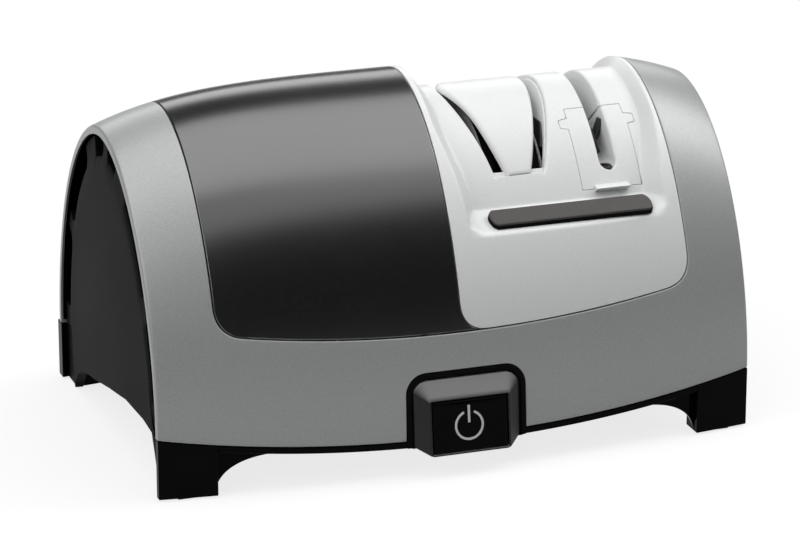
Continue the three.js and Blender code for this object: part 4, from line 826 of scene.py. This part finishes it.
def wedge_shape():
    """The block between the coarse slots: its top is on the recess drum, its bottom clears the wheels."""
    y, high = over_drum(WEDGE_BOTTOM + 0.1, WEDGE_BOTTOM + 0.1, 90)
    low = np.minimum(room_top(y, WEDGE_BOTTOM), high - 0.4)
    left, right = wedge_side(-1, high), wedge_side(1, high)
    stops = [left, left + WEDGE_FILLET, right - COARSE_FILLET, right]
    x, index = columns_between(stops, [from_edge(), even(12), towards_edge()])
    outer = xyz(x, y, high)
    drop = fillet_drop(x.shape[1], index, [], [0], WEDGE_FILLET)
    drop = drop + fillet_drop(x.shape[1], index, [2], [], COARSE_FILLET)
    low_x = mix(wedge_side(-1, low), wedge_side(1, low), (x - left) / (right - left))
    return plate(outer - outward(outer) * drop[:, None], xyz(low_x, y, low))


pull_out = np.array([0, -math.cos(CARTRIDGE_LEAN), math.sin(CARTRIDGE_LEAN)])
up_deck = np.array([0, math.sin(CARTRIDGE_LEAN), math.cos(CARTRIDGE_LEAN)])


def deck_place(z, inset=0.0):
    """Places v up the deck and w along the pull-out direction of a drum height."""
    point = drum(0, arch_angle(z, DRUM_SPRING, DRUM_CREST - inset), inset)
    return point @ up_deck, point @ pull_out


def case_back(depth):
    """Place along the pull-out direction of a level a depth behind the middle of the cartridge."""
    return deck_place((CARTRIDGE_LOW + CARTRIDGE_TOP) / 2)[1] - depth


def cartridge_shapes():
    """The fine cartridge: a face on the drum, run back along the pull-out axis, cut by its slot."""
    marks = [*FINE_SLOT_ROWS, EAR_LOW - 0.2, EAR_LOW + 0.2, EAR_HIGH - 0.2, EAR_HIGH + 0.2]
    z = heights(CARTRIDGE_LOW, CARTRIDGE_TOP, 1.0, marks)[:, None]
    half, slot = cartridge_half(z), slot_half(z)
    off = FINE_SLOT_X - CARTRIDGE_X
    stops = [-half, off - slot - FINE_FILLET, off - slot, off + slot, off + slot + FINE_FILLET, half]
    x, index = columns_between(stops, [even(6), towards_edge(), even(4), from_edge(), even(6)])
    outer = drum(x + CARTRIDGE_X, drum_angle(z))
    back = case_back(CARTRIDGE_DEPTH)
    inner = outer - ((outer @ pull_out) - back)[..., None] * pull_out
    drop = fillet_drop(x.shape[1], index, [1], [3], FINE_FILLET) * smooth((z - FINE_SLOT_BOTTOM) / 1.5)
    keep = np.ones((len(z) - 1, x.shape[1] - 1), bool)
    middle = (z[1:, 0] + z[:-1, 0]) / 2
    keep[np.ix_(middle > FINE_SLOT_BOTTOM, np.arange(index[2], index[3]))] = False
    shapes = [plate(outer - outward(outer) * drop[..., None], inner, keep)]

    # The slot's level trough, below the rods.
    turn = np.linspace(np.pi, 2 * np.pi, 15)[None, :]
    y = np.linspace(drum(0, drum_angle(FINE_SLOT_BOTTOM))[1] + 1.2, -13, 12)[:, None]
    floor = FINE_SLOT_BOTTOM - 0.9 + FINE_SLOT_HALF * (1 + np.sin(turn))
    trough_x = FINE_SLOT_X + (FINE_SLOT_HALF + 0.1) * np.cos(turn)
    shapes.append(plate(xyz(trough_x, y, floor), xyz(trough_x, y + 1.5, floor - 5.5)))

    # The thumb tab, whose end slopes back so that it faces up.
    v, w = deck_place(CARTRIDGE_LOW)
    across_tab = CARTRIDGE_X - 0.5 + np.linspace(-6.7, 6.7, 9)[None, :]
    out = np.array([0.2, 1.0, 2.0, 3.0])[:, None, None]
    low = xyz(across_tab, 0, 0) + (v - 1.2) * up_deck + (w + out) * pull_out
    shapes.append(plate(low + 2.4 * up_deck - 0.72 * (out - 0.2) * pull_out, low))
    return shapes


def sleeve_shape():
    """The sleeve in the deck that the cartridge slides in: its outline grown and run back."""
    corners = [(CARTRIDGE_HALF, CARTRIDGE_LOW), (CARTRIDGE_HALF, EAR_LOW), (EAR_HALF, EAR_LOW),
               (EAR_HALF, EAR_HIGH), (NECK_HALF, EAR_HIGH), (NECK_HALF, CARTRIDGE_TOP),
               (FINE_SLOT_HALF, CARTRIDGE_TOP)]
    right = np.array([[x, deck_place(z)[0]] for x, z in corners])
    loop = join(right[::-1] * [-1, 1], right)
    middle = np.array([0, (right[0, 1] + right[-1, 1]) / 2])
    open_end = np.abs(loop[:, :1]) <= FINE_SLOT_HALF
    drum_z = np.linspace(CARTRIDGE_LOW - 4, CARTRIDGE_TOP + 4, 40)
    v, w = np.array([deck_place(z, 1.0) for z in drum_z]).T
    back = case_back(SLEEVE_DEPTH)
    layers = []
    for grow in (0.3, 1.9):
        grown = loop + np.sign(loop - middle) * grow * np.where(open_end, [0, 1], 1)
        edge = xyz(CARTRIDGE_X + grown[:, 0], 0, 0) + grown[:, 1, None] * up_deck
        top = np.interp(grown[:, 1], v, w)
        layers.append(edge + np.array([np.full_like(top, back), top])[..., None] * pull_out)
    return plate(layers[1], layers[0])


def pad_shape(grow, low, high):
    """The rest pad, an eight-cornered bar that lies along the ledge, or the dark bed under it."""
    back = drum(0, drum_angle(FLOOR_LINE))
    middle = (PAD_LEFT + PAD_RIGHT) / 2
    forward = (body(middle, body_angle(middle, LEDGE_EDGE)) - back) * np.array([0, 1, 1])
    forward = forward / np.linalg.norm(forward)
    up = np.cross(forward, [1.0, 0, 0])
    up = up if up[2] > 0 else -up
    s = np.array([3.8 - grow, 5.4, 7.0, 9.0, 11.4, 13.0 + grow])[:, None, None]
    trim = np.array([1.6, 0.4, 0.0, 0.0, 0.4, 1.6])[:, None] - grow
    x = mix(PAD_LEFT + trim, PAD_RIGHT - trim, even(29)[None, :])
    base = xyz(x, back[1], back[2]) + s * forward
    return plate(base + up * high, base + up * low)


# Base and ends.

def tray_top(x):
    """The top of the base's strip: a gap below the housing's lower edge."""
    return edge_height(x) - GAP


def tray_low(x):
    """The underside of the base between its legs: the strip's height below its top."""
    return tray_top(x) - STRIP


def base_depth(x, side, inset):
    """Depth of the base on one side, less an inset; its rear wall stands a step further out."""
    return side * (side_depth(x) + (REAR_STEP if side > 0 else 0) - inset)


def plan_wall(side, x, outer_inset, inner_inset, low, top, rows):
    """A wall along the plan of the base between two insets and two heights."""
    z = mix(low, top, even(rows - 1)[:, None])
    return slab(x, base_depth(x, side, outer_inset), base_depth(x, side, inner_inset), z)


def skirt_shape(side, end):
    """A skirt: lines fan out from a quarter ellipse to the leg and to the strip above it."""
    a = np.linspace(0, np.pi / 2, 41)
    corner = 0.9
    foot_x = LEG_INNER - 31.5 * (1 - np.cos(a))
    foot_z = mix(FOOT_STAND, tray_low(foot_x), np.sin(a))
    head_x = LEG_INNER + 1.5 - 33.0 * np.clip((a - corner) / (np.pi / 2 - corner), 0, 1)
    head_z = mix(FOOT_STAND, tray_low(head_x) + 1.1, np.clip(a / corner, 0, 1))
    share = even(6)[:, None]
    x, z = mix(foot_x, head_x, share), mix(foot_z, head_z, share)
    return slab(end * x, base_depth(x, side, 3.2), base_depth(x, side, 5.6), z)


def base_shapes():
    """The base: a tray with its strip and upstand, four legs with a skirt beside each, and two posts.

    The strip and the upstand behind it are left out at the front where the bezel stands.
    """
    shapes = []
    for side in (-1, 1):
        step = REAR_STEP if side > 0 else 0
        runs = [(-LEG_INNER, LEG_INNER)]
        if side < 0:
            runs = [(-LEG_INNER, 0.4 - BEZEL_HALF), (BEZEL_HALF - 0.4, LEG_INNER)]
        for start, stop in runs:
            x = np.linspace(start, stop, 60)
            shapes.append(plan_wall(side, x, 0, 6 + step, tray_low(x), tray_top(x), 3))
            outer_ends = [place * 1.15 if abs(place) == LEG_INNER else place for place in (start, stop)]
            x = np.linspace(*outer_ends, 60)
            inset = WALL + 0.7 + step
            shapes.append(plan_wall(side, x, inset, inset + 2.4, tray_low(x), tray_top(x) + 7, 4))
        for end in (-1, 1):
            x = np.linspace(end * LEG_INNER, end * HALF_LENGTH, 14)
            shapes.append(plan_wall(side, x, 0, WALL + step, FOOT_STAND, tray_top(x), 8))
            x = np.linspace(end * LEG_INNER, end * TRAY_END, 10)
            depth = 10.0 if side < 0 else 15.6 + REAR_STEP
            shapes.append(plan_wall(side, x, 1.5, depth, FOOT_STAND, tray_top(x) - 0.2, 4))
            shapes.append(skirt_shape(side, end))
    x = np.linspace(-TRAY_END, TRAY_END, 60)[None, :]
    front = np.where(np.abs(x) < BEZEL_HALF + 1, -65.6, base_depth(x, -1, 4.5))
    y = mix(front, base_depth(x, 1, 4.5 + REAR_STEP), even(8)[:, None])
    shapes.append(plate(xyz(x, y, tray_low(x) + 2.2), xyz(x, y, tray_low(x))))
    x = np.linspace(-62, -36, 4)
    z = mix(tray_low(x) + 1.0, 29.7, even(3)[:, None])
    return shapes + [slab(x, side * 22.5, side * 28.5, z) for side in (-1, 1)]


def end_arch(x, t, inset):
    """The housing's arch at its end faces, moved inwards by an inset."""
    return arch(x, t, END_HALF_DEPTH - inset, EDGE_END, CREST_END - inset)


def end_cap_shape(end):
    """An end cap: from its arch down to the arch between the legs, with the vents left open.

    Rows run from the rim inwards. The third row is the inner edge of the vents, which is drawn in
    towards the rim at each vent's ends to round its corners.
    """
    vents = [(0.073, 0.315), (0.37, 0.7), (0.84, 0.965)]
    vents = vents + [(2 - b, 2 - a) for a, b in vents]
    marks = sorted(v for pair in vents for v in pair)
    kept = [s for s in np.linspace(0, 2, 161) if all(abs(s - m) > 0.007 for m in marks)]
    share = np.array(sorted(kept + marks))
    t = share * np.pi / 2
    spread = np.zeros_like(share)
    for a, b in vents:
        gap = np.clip(np.minimum(share - a, b - share) * 240, 0, VENT_ROUND)
        spread = np.maximum(spread, np.sqrt(VENT_ROUND ** 2 - (VENT_ROUND - gap) ** 2))

    along = even(len(share) - 1)
    low_z = mix(FOOT_STAND, EDGE_END - 0.2, np.interp(along, *np.array(ARCH_RISE).T))
    low = np.stack([mix(-65.3, 53.0, along), low_z], -1)
    rim, first, second = (end_arch(0, t, inset)[..., 1:] for inset in (3.3, 8.3 + spread, 13.5))
    grid = np.array([rim, mix(rim, first, 0.5), first, *(mix(second, low, s) for s in even(12))])
    keep = np.ones((len(grid) - 1, len(share) - 1), bool)
    middle = (share[1:] + share[:-1]) / 2
    for a, b in vents:
        keep[:2, (middle > a) & (middle < b)] = False
    centre = np.hypot(grid[..., 0] / 62, (grid[..., 1] - 50) / 68)
    face = CAP_FACE + 1.2 * smooth(1.2 - centre)
    face[3:] += 0.6
    outer = xyz(end * face, grid[..., 0], grid[..., 1])
    inner = xyz(end * CAP_BACK, grid[..., 0], grid[..., 1])
    near, far = sorted((end * CAP_BACK, end * (CAP_FACE - 0.4)))
    leg = block((near, 53.0, FOOT_STAND), (far, 65.3, 24.5))
    return [plate(outer, inner, keep), leg]


def vent_shade_sheet_shape(end):
    """A dark sheet inside an end cap, put where the vents show only shade: painted shade, as a sleeve
    close inside the shell with a flange behind the vents.

    Its section is an L, an arch of it at each X: the sleeve runs inwards along X, and the flange
    across it towards the middle.
    """
    t = np.linspace(0.02, np.pi - 0.02, 120)[None, :]

    def sheet(profile):
        """One face of the shade sheet, along a profile of places x and insets."""
        x, inset = np.array(profile).T[..., None]
        return end_arch(end * x, t, inset)

    return plate(sheet([(114.2, 3.15), (109.0, 3.15), (104.0, 3.15), (104.0, 18.0)]),
                 sheet([(114.2, 3.6), (109.0, 3.6), (104.45, 3.6), (104.45, 18.0)]))


def rounded(half, low, top, corner):
    """An outline in X and Z with square lower corners and round upper ones."""
    turn = np.linspace(0, np.pi / 2, 10)
    side, crown = half - corner, top - corner
    x = join(np.linspace(-half, half, 14), np.full(8, half), side + corner * np.cos(turn),
             -side - corner * np.sin(turn), np.full(8, -half))
    z = join(np.full(14, low), np.linspace(low, crown, 10)[1:-1], crown + corner * np.sin(turn),
             crown + corner * np.cos(turn), np.linspace(crown, low, 10)[1:-1])
    return np.stack([x, z], -1)


def ring_plane(z):
    """Depth of the bezel's ring, which leans back towards its top."""
    return mix(RING_LOW_Y, RING_TOP_Y, (z - BEZEL_LOW) / (BEZEL_TOP - BEZEL_LOW))


def nose_plane(z):
    """Depth of the button's face and of the frame around it, which lean back the same way."""
    return mix(NOSE_LOW_Y, NOSE_TOP_Y, (z - NOSE_LOW) / (NOSE_TOP - NOSE_LOW))


def bezel_loops():
    """The bezel's outlines: outer edge, inner edge of the ring, groove, nose and pocket."""
    edges = [rounded(BEZEL_HALF - inset, BEZEL_LOW - below, BEZEL_TOP - inset, BEZEL_CORNER - inset)
             for inset, below in ((0, 0.5), (1.7, 0.48), (2.5, 0.46))]
    return (*edges, rounded(NOSE_HALF, NOSE_LOW, NOSE_TOP, 0.8),
            rounded(NOSE_HALF - 0.5, NOSE_LOW + 0.5, NOSE_TOP - 0.5, 0.5))


def at_depth(loop, depth, push=0.0):
    """An outline laid on a leaning plane, and pushed inwards."""
    return xyz(loop[:, 0], depth(loop[:, 1]) + push, loop[:, 1])


def bezel_ring_shape():
    """The bezel's flat outer ring, with the sunk groove inside it."""
    outer, ring, groove, _, _ = bezel_loops()
    rings = [xyz(outer[:, 0], BEZEL_BACK, outer[:, 1]), at_depth(outer, ring_plane),
             at_depth(ring, ring_plane), at_depth(ring, ring_plane, 0.9), at_depth(groove, ring_plane, 0.9),
             xyz(groove[:, 0], BEZEL_BACK - 1.0, groove[:, 1])]
    return tube(np.array(rings), closed=True)


def bezel_shape():
    """The frame inside the groove: a frustum up to the nose, and the pocket behind it."""
    _, _, groove, nose, pocket = bezel_loops()
    start, stop = at_depth(groove, ring_plane, 0.2), at_depth(nose, nose_plane)
    rings = [xyz(groove[:, 0] * 0.995, BEZEL_BACK - 1.5, groove[:, 1]),
             *(mix(start, stop, s) for s in even(5)),
             at_depth(pocket, nose_plane), xyz(pocket[:, 0], BEZEL_BACK - 3.0, pocket[:, 1])]
    return tube(np.array(rings), closed=True)


def button_shapes():
    """The button: a plate with a leaning, slightly bulged face, and its stem."""
    half_x, half_z = 14.6, 9.55
    x = np.linspace(-half_x, half_x, 25)[None, :]
    z = np.linspace(BUTTON_Z - half_z, BUTTON_Z + half_z, 17)[:, None]
    bulge = 0.25 * (1 - (x / half_x) ** 4) * (1 - ((z - BUTTON_Z) / half_z) ** 4)
    return [slab(x, nose_plane(z) - bulge, -75.6, z), block((-2.2, -75.8, 17.0), (2.2, -62.2, 21.4))]


def spring_shape():
    """The return spring: a round wire carried along a helix about Y, whose end turns lie close.

    Each ring of the wire lies across the helix, in the plane of its radius and of their cross product.
    """
    turns = np.linspace(0, 6.5, 209)
    close = 0.93
    y = np.interp(turns, [0, 1, 5.5, 6.5],
                  [SPRING_FRONT, SPRING_FRONT + close, SPRING_BACK - close, SPRING_BACK])
    angle = turns * 2 * np.pi
    radius = xyz(np.cos(angle), 0, np.sin(angle))
    path = SPRING_RADIUS * radius + xyz(0, y, BUTTON_Z)
    ahead = np.gradient(path, axis=0)
    other = np.cross(ahead / np.linalg.norm(ahead, axis=1, keepdims=True), radius)
    around = (np.arange(10) * 0.2 * np.pi)[None, :, None]
    ring = np.cos(around) * radius[:, None] + np.sin(around) * other[:, None]
    return tube(path[:, None] + SPRING_WIRE * ring)


def symbol_shapes():
    """The power sign: a ring that is open at the top, with a bar in the gap."""
    centre_x, centre_z = -0.6, 19.4
    turn = np.linspace(math.radians(22), math.radians(338), 64)[:, None]
    radius = np.array([4.75, 5.6])[None, :]
    ring = centre_x - np.sin(turn) * radius, centre_z + np.cos(turn) * radius
    bar = centre_x + np.array([-0.45, 0.45])[None, :], np.linspace(centre_z + 1.0, centre_z + 7.4, 6)[:, None]
    return [slab(x, nose_plane(z) - 0.32, nose_plane(z) + 0.2, z) for x, z in (ring, bar)]


# Settings and operators.

# The camera's turn and lift in degrees, and its distance from what it looks at in metres.
CAMERA_TURN, CAMERA_LIFT = 19.44, 18.96
CAMERA_TARGET = (0.000877, 0.0, 0.04998)
CAMERA_DISTANCE = 1.5

# Lamps beside the overhead one: name, place, target, size and power.
LAMPS = (
    ("front strip", (0.15, -0.8, 1.08), (0, 0, 0.05), (1.6, 0.3), 1.6),
    ("rear", (0.2, 1.25, 0.75), (0, 0, 0.05), (1.8, 0.5), 6.5),
    ("right", (1.25, -0.1, 1.25), (0, 0, 0.08), (0.8, 0.9), 9.5),
    ("left", (-1.3, -0.3, 1.0), (0, 0, 0.08), (0.9, 0.9), 7.0),
    ("left front", (-0.95, -1.15, 0.85), (0, 0, 0.08), (0.7, 0.6), 4.0),
)


class SharpenerSettings(bpy.types.PropertyGroup):
    """Sizes and colours that a user would change."""

    cover_round: bpy.props.FloatProperty(
        name="Cover edge", description="Rounding of the cover edges, in millimetres", default=0.45, min=0.05)
    lamp_power: bpy.props.FloatProperty(
        name="Overhead lamp", description="Power of the overhead lamp", default=16.5, min=0.0,
        subtype="POWER")
    floor_colour: bpy.props.FloatVectorProperty(
        name="Floor", description="Colour of the floor", default=(0.9, 0.9, 0.9), size=3, subtype="COLOR",
        min=0.0, max=1.0)
    lens: bpy.props.FloatProperty(
        name="Lens", description="Focal length of the camera, in millimetres", default=177.9, min=10.0)


class SHARPENER_OT_finishes(bpy.types.Operator):
    """Makes the finishes and puts them on the pieces that the frame carries."""

    bl_idname = "sharpener.finishes"
    bl_label = "Finishes"

    def execute(self, context):
        for *plain, others in FINISHES:
            add_finish(*plain, **others)
        for key, names in CARRIED.items():
            for name in names:
                target = nodes[name]
                target.data.materials.clear()
                target.data.materials.append(finishes[key][0])
        return {"FINISHED"}


class SHARPENER_OT_covers(bpy.types.Operator):
    """Builds the painted shell, the dark panel and the white deck with its pad and wedge."""

    bl_idname = "sharpener.covers"
    bl_label = "Covers"

    def execute(self, context):
        edge = context.scene.sharpener.cover_round
        piece("painted_shell", [shell_shape()], "grey paint", ("upper_shell",), angle=60)
        piece("flake_panel", [panel_shape()], "black flake paint", ("dark_panel",), edge)
        piece("white_deck", [deck_shape(), *slot_shelf_shapes(), *slot_wall_shapes(), sleeve_shape()],
              "white satin", ("guide_deck",), 0.25, 3, 55)
        piece("slot_wedge", [wedge_shape()], "white satin", ("coarse_wedge",), 0.15)
        piece("rest_pad", [pad_shape(0, 1.4, 2.5)], "rest rubber", ("blade_rest_pad",), 0.25)
        piece("pad_bed", [pad_shape(0.3, 0.1, 1.5)], "textured black", edge=0.15)
        return {"FINISHED"}


class SHARPENER_OT_stages(bpy.types.Operator):
    """Builds the grinding wheels and the fine cartridge with its rods and screw."""

    bl_idname = "sharpener.stages"
    bl_label = "Sharpening stages"

    def execute(self, context):
        thick, rim, bore, centre = 0.9, 40.8, 9.4, 0.02
        disc = [(centre, 0), (bore, 0), (39.9, 0), (rim, 0.2), (rim, thick), (bore, thick), (centre, thick)]
        back = [(centre, thick), (39.6, thick), (39.6, 4.2), (38.8, 5.0), (centre, 5.0)]
        for name, face, inward in (("left", 22.3, 1), ("right", 45.3, -1)):
            place, axis = (face, 0, SPINDLE_Z), (inward, 0, 0)
            piece(f"{name}_wheel", [lathe(disc, place, axis, 160)], "abrasive grit",
                  (f"{name}_grinding_wheel",), angle=30, rides="spindle_line")
            piece(f"{name}_wheel_back", [lathe(back, place, axis, 128)], "textured black", angle=30,
                  rides="spindle_line")
        for side, name in ((-1, "left"), (1, "right")):
            piece(f"{name}_leaf", [leaf_shape(side)], "blued steel", (f"{name}_guide_leaf",))
        piece("cartridge", cartridge_shapes(), "white satin", ("fine_cartridge",), 0.15, 3, 50, "fine_stage")
        lean = math.radians(20)
        for name, y, side, low, high in (("front", -25.2, -1, -1.6, 9.0), ("rear", -20.8, 1, -3.4, 11.4)):
            axis = (side * math.sin(lean), 0, math.cos(lean))
            rod = [(0.02, low), (1.3, low), (1.6, low + 0.3), (1.6, high - 0.3), (1.3, high), (0.02, high)]
            piece(f"{name}_rod", [lathe(rod, (CARTRIDGE_X, y, 101.0), axis, 40)], "dark ceramic",
                  (f"{name}_ceramic_rod",), angle=30, rides="fine_stage")
        screw = [(0.02, -10.5), (1.0, -10.5), (1.2, -9.8), (1.2, -1.5), (2.9, -1.5), (2.9, -0.5),
                 (2.5, 0.0), (1.5, 0.0), (1.2, -0.9), (0.02, -0.9)]
        piece("stage_screw", [lathe(screw, (CARTRIDGE_X, -35.0, 97.9), (0, 0, 1), 40)], "blued steel",
              ("rod_screw",), angle=30, rides="fine_stage")
        return {"FINISHED"}


class SHARPENER_OT_base(bpy.types.Operator):
    """Builds the base, its feet, the end caps and the gland."""

    bl_idname = "sharpener.base"
    bl_label = "Base and ends"

    def execute(self, context):
        piece("gloss_base", base_shapes(), "gloss black", ("base_housing",), 0.35, 2, 50)
        for end, name in ((-1, "left"), (1, "right")):
            piece(f"{name}_vent_cap", end_cap_shape(end), "textured black", (f"{name}_end_cap",), 0.4, 2, 50)
            # A dark sheet behind the vents: painted shade for the housing's dark inside.
            piece(f"{name}_vent_shade_sheet", [vent_shade_sheet_shape(end)], "vent shade black")
            for side, where in ((-1, "front"), (1, "rear")):
                x = end * 101.9
                y = base_depth(x, side, 5.0)
                piece(f"{where}_{name}_pad", [block((x - 6, y - 3.2, 0), (x + 6, y + 3.2, 2))], "foot rubber",
                      (f"{where}_{name}_foot",), 0.5)
        gland = [(3.0, -6.0), (6.0, -6.0), (6.0, 8.4), (8.0, 8.4), (8.0, 10.0), (7.6, 10.4), (5.6, 10.4),
                 (4.4, 11.1), (3.3, 11.1), (3.0, 10.7), (3.0, 0.1), (0.02, 0.1)]
        piece("gland", [lathe(gland, (-60.0, 70.0, 33.0), (0, 1, 0), 48)], "textured black",
              ("cord_gland",), angle=35)
        return {"FINISHED"}


class SHARPENER_OT_button(bpy.types.Operator):
    """Builds the bezel and the power button with its sign."""

    bl_idname = "sharpener.button"
    bl_label = "Button"

    def execute(self, context):
        piece("bezel", [bezel_shape()], "bezel black with painted highlight", ("button_bezel",), 0.5, 3, 30)
        piece("bezel_ring", [bezel_ring_shape()], "gloss black", edge=0.2, angle=30)
        piece("button", button_shapes(), "gloss black", ("power_button",), 0.9, 4, rides="button")
        piece("power_sign", symbol_shapes(), "white satin", rides="button")
        spring = piece("return_spring", [spring_shape()], "spring steel", ("button_spring",))
        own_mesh(spring)
        return {"FINISHED"}


class SHARPENER_OT_stage(bpy.types.Operator):
    """Sets the floor, the world, the lamps and the camera."""

    bl_idname = "sharpener.stage"
    bl_label = "Stage"

    def execute(self, context):
        settings = context.scene.sharpener
        scene = context.scene
        scene.view_settings.view_transform = "Standard"
        make_floor(settings.floor_colour)
        make_world(scene)
        add_lamp("overhead", (0.05, -0.08, 1.2), (0.05, -0.08, 0), (2.2, 1.1), settings.lamp_power)
        for lamp in LAMPS:
            add_lamp(*lamp)
        turn, lift = math.radians(CAMERA_TURN), math.radians(CAMERA_LIFT)
        back = Vector((-math.sin(turn) * math.cos(lift), -math.cos(turn) * math.cos(lift), math.sin(lift)))
        data = bpy.data.cameras.new("camera")
        data.lens = settings.lens
        data.sensor_width = 36
        data.clip_end = 20
        camera = add_object("camera", data)
        camera.location = Vector(CAMERA_TARGET) + back * CAMERA_DISTANCE
        camera.rotation_euler = (-back).to_track_quat("-Z", "Y").to_euler()
        scene.camera = camera
        return {"FINISHED"}


def ray_switch(tree):
    """One where a ray comes from the camera, a glossy surface or through glass, otherwise nought."""
    path = add_node(tree, "LightPath", {})
    first = add_node(tree, "Math", {0: path["Is Camera Ray"], 1: path["Is Glossy Ray"]}, operation="ADD")
    return add_node(tree, "Math", {0: first[0], 1: path["Is Transmission Ray"]}, operation="ADD",
                    use_clamp=True)[0]


def make_floor(colour):
    """A wide level floor: white to the camera, with part of the object's shadow kept."""
    size = 6.0
    mesh = bpy.data.meshes.new("floor")
    mesh.from_pydata([(-size, -size, 0), (size, -size, 0), (size, size, 0), (-size, size, 0)], [],
                     [(0, 1, 2, 3)])
    floor = add_object("floor", mesh)
    material, tree, shader = new_material("white floor")
    switch = ray_switch(tree)
    tone = tinted(tree, switch, (0.12, 0.12, 0.12, 1), (*colour, 1))
    fill(tree, shader, {"Base Color": tone, "Roughness": 0.9, "Specular IOR Level": 0.1})
    white = add_node(tree, "Emission", {})
    part = add_node(tree, "Math", {0: switch, 1: 0.8}, operation="MULTIPLY")
    blend = add_node(tree, "MixShader", {"Fac": part[0], 1: shader.outputs["BSDF"], 2: white["Emission"]})
    fill(tree, tree.nodes["Material Output"], {"Surface": blend["Shader"]})
    floor.data.materials.append(material)


def make_world(scene):
    """A plain dim world around the lamps."""
    world = bpy.data.worlds.new("studio")
    world.use_nodes = True
    back = world.node_tree.nodes["Background"]
    fill(world.node_tree, back, {"Color": (1, 1, 1, 1), "Strength": 0.03})
    scene.world = world


def add_lamp(name, place, target, size, power):
    """An area lamp of a size and power that shines from its place towards its target."""
    data = bpy.data.lights.new(name, "AREA")
    data.shape = "RECTANGLE"
    data.size, data.size_y = size
    data.energy = power
    lamp = add_object(name, data)
    lamp.location = place
    lamp.rotation_euler = (Vector(target) - Vector(place)).to_track_quat("-Z", "Y").to_euler()


class SHARPENER_PT_panel(bpy.types.Panel):
    """Lists the steps in the sidebar of the 3D view."""

    bl_idname = "SHARPENER_PT_panel"
    bl_label = "Knife sharpener"
    bl_space_type = "VIEW_3D"
    bl_region_type = "UI"
    bl_category = "Sharpener"

    def draw(self, context):
        for name in SharpenerSettings.__annotations__:
            self.layout.prop(context.scene.sharpener, name)
        for step in STEPS:
            self.layout.operator(step.bl_idname)


STEPS = (
    SHARPENER_OT_finishes,
    SHARPENER_OT_covers,
    SHARPENER_OT_stages,
    SHARPENER_OT_base,
    SHARPENER_OT_button,
    SHARPENER_OT_stage,
)
CLASSES = (SharpenerSettings, *STEPS, SHARPENER_PT_panel)


def register():
    """Registers every class and hangs the settings on the scene."""
    for item in CLASSES:
        bpy.utils.register_class(item)
    bpy.types.Scene.sharpener = bpy.props.PointerProperty(type=SharpenerSettings)


def unregister():
    """Takes back what register did, in the opposite order."""
    del bpy.types.Scene.sharpener
    for item in reversed(CLASSES):
        bpy.utils.unregister_class(item)


def main():
    """Runs every step in order."""
    register()
    for step in STEPS:
        group, name = step.bl_idname.split(".")
        getattr(getattr(bpy.ops, group), name)()


if __name__ == "__main__":
    main()
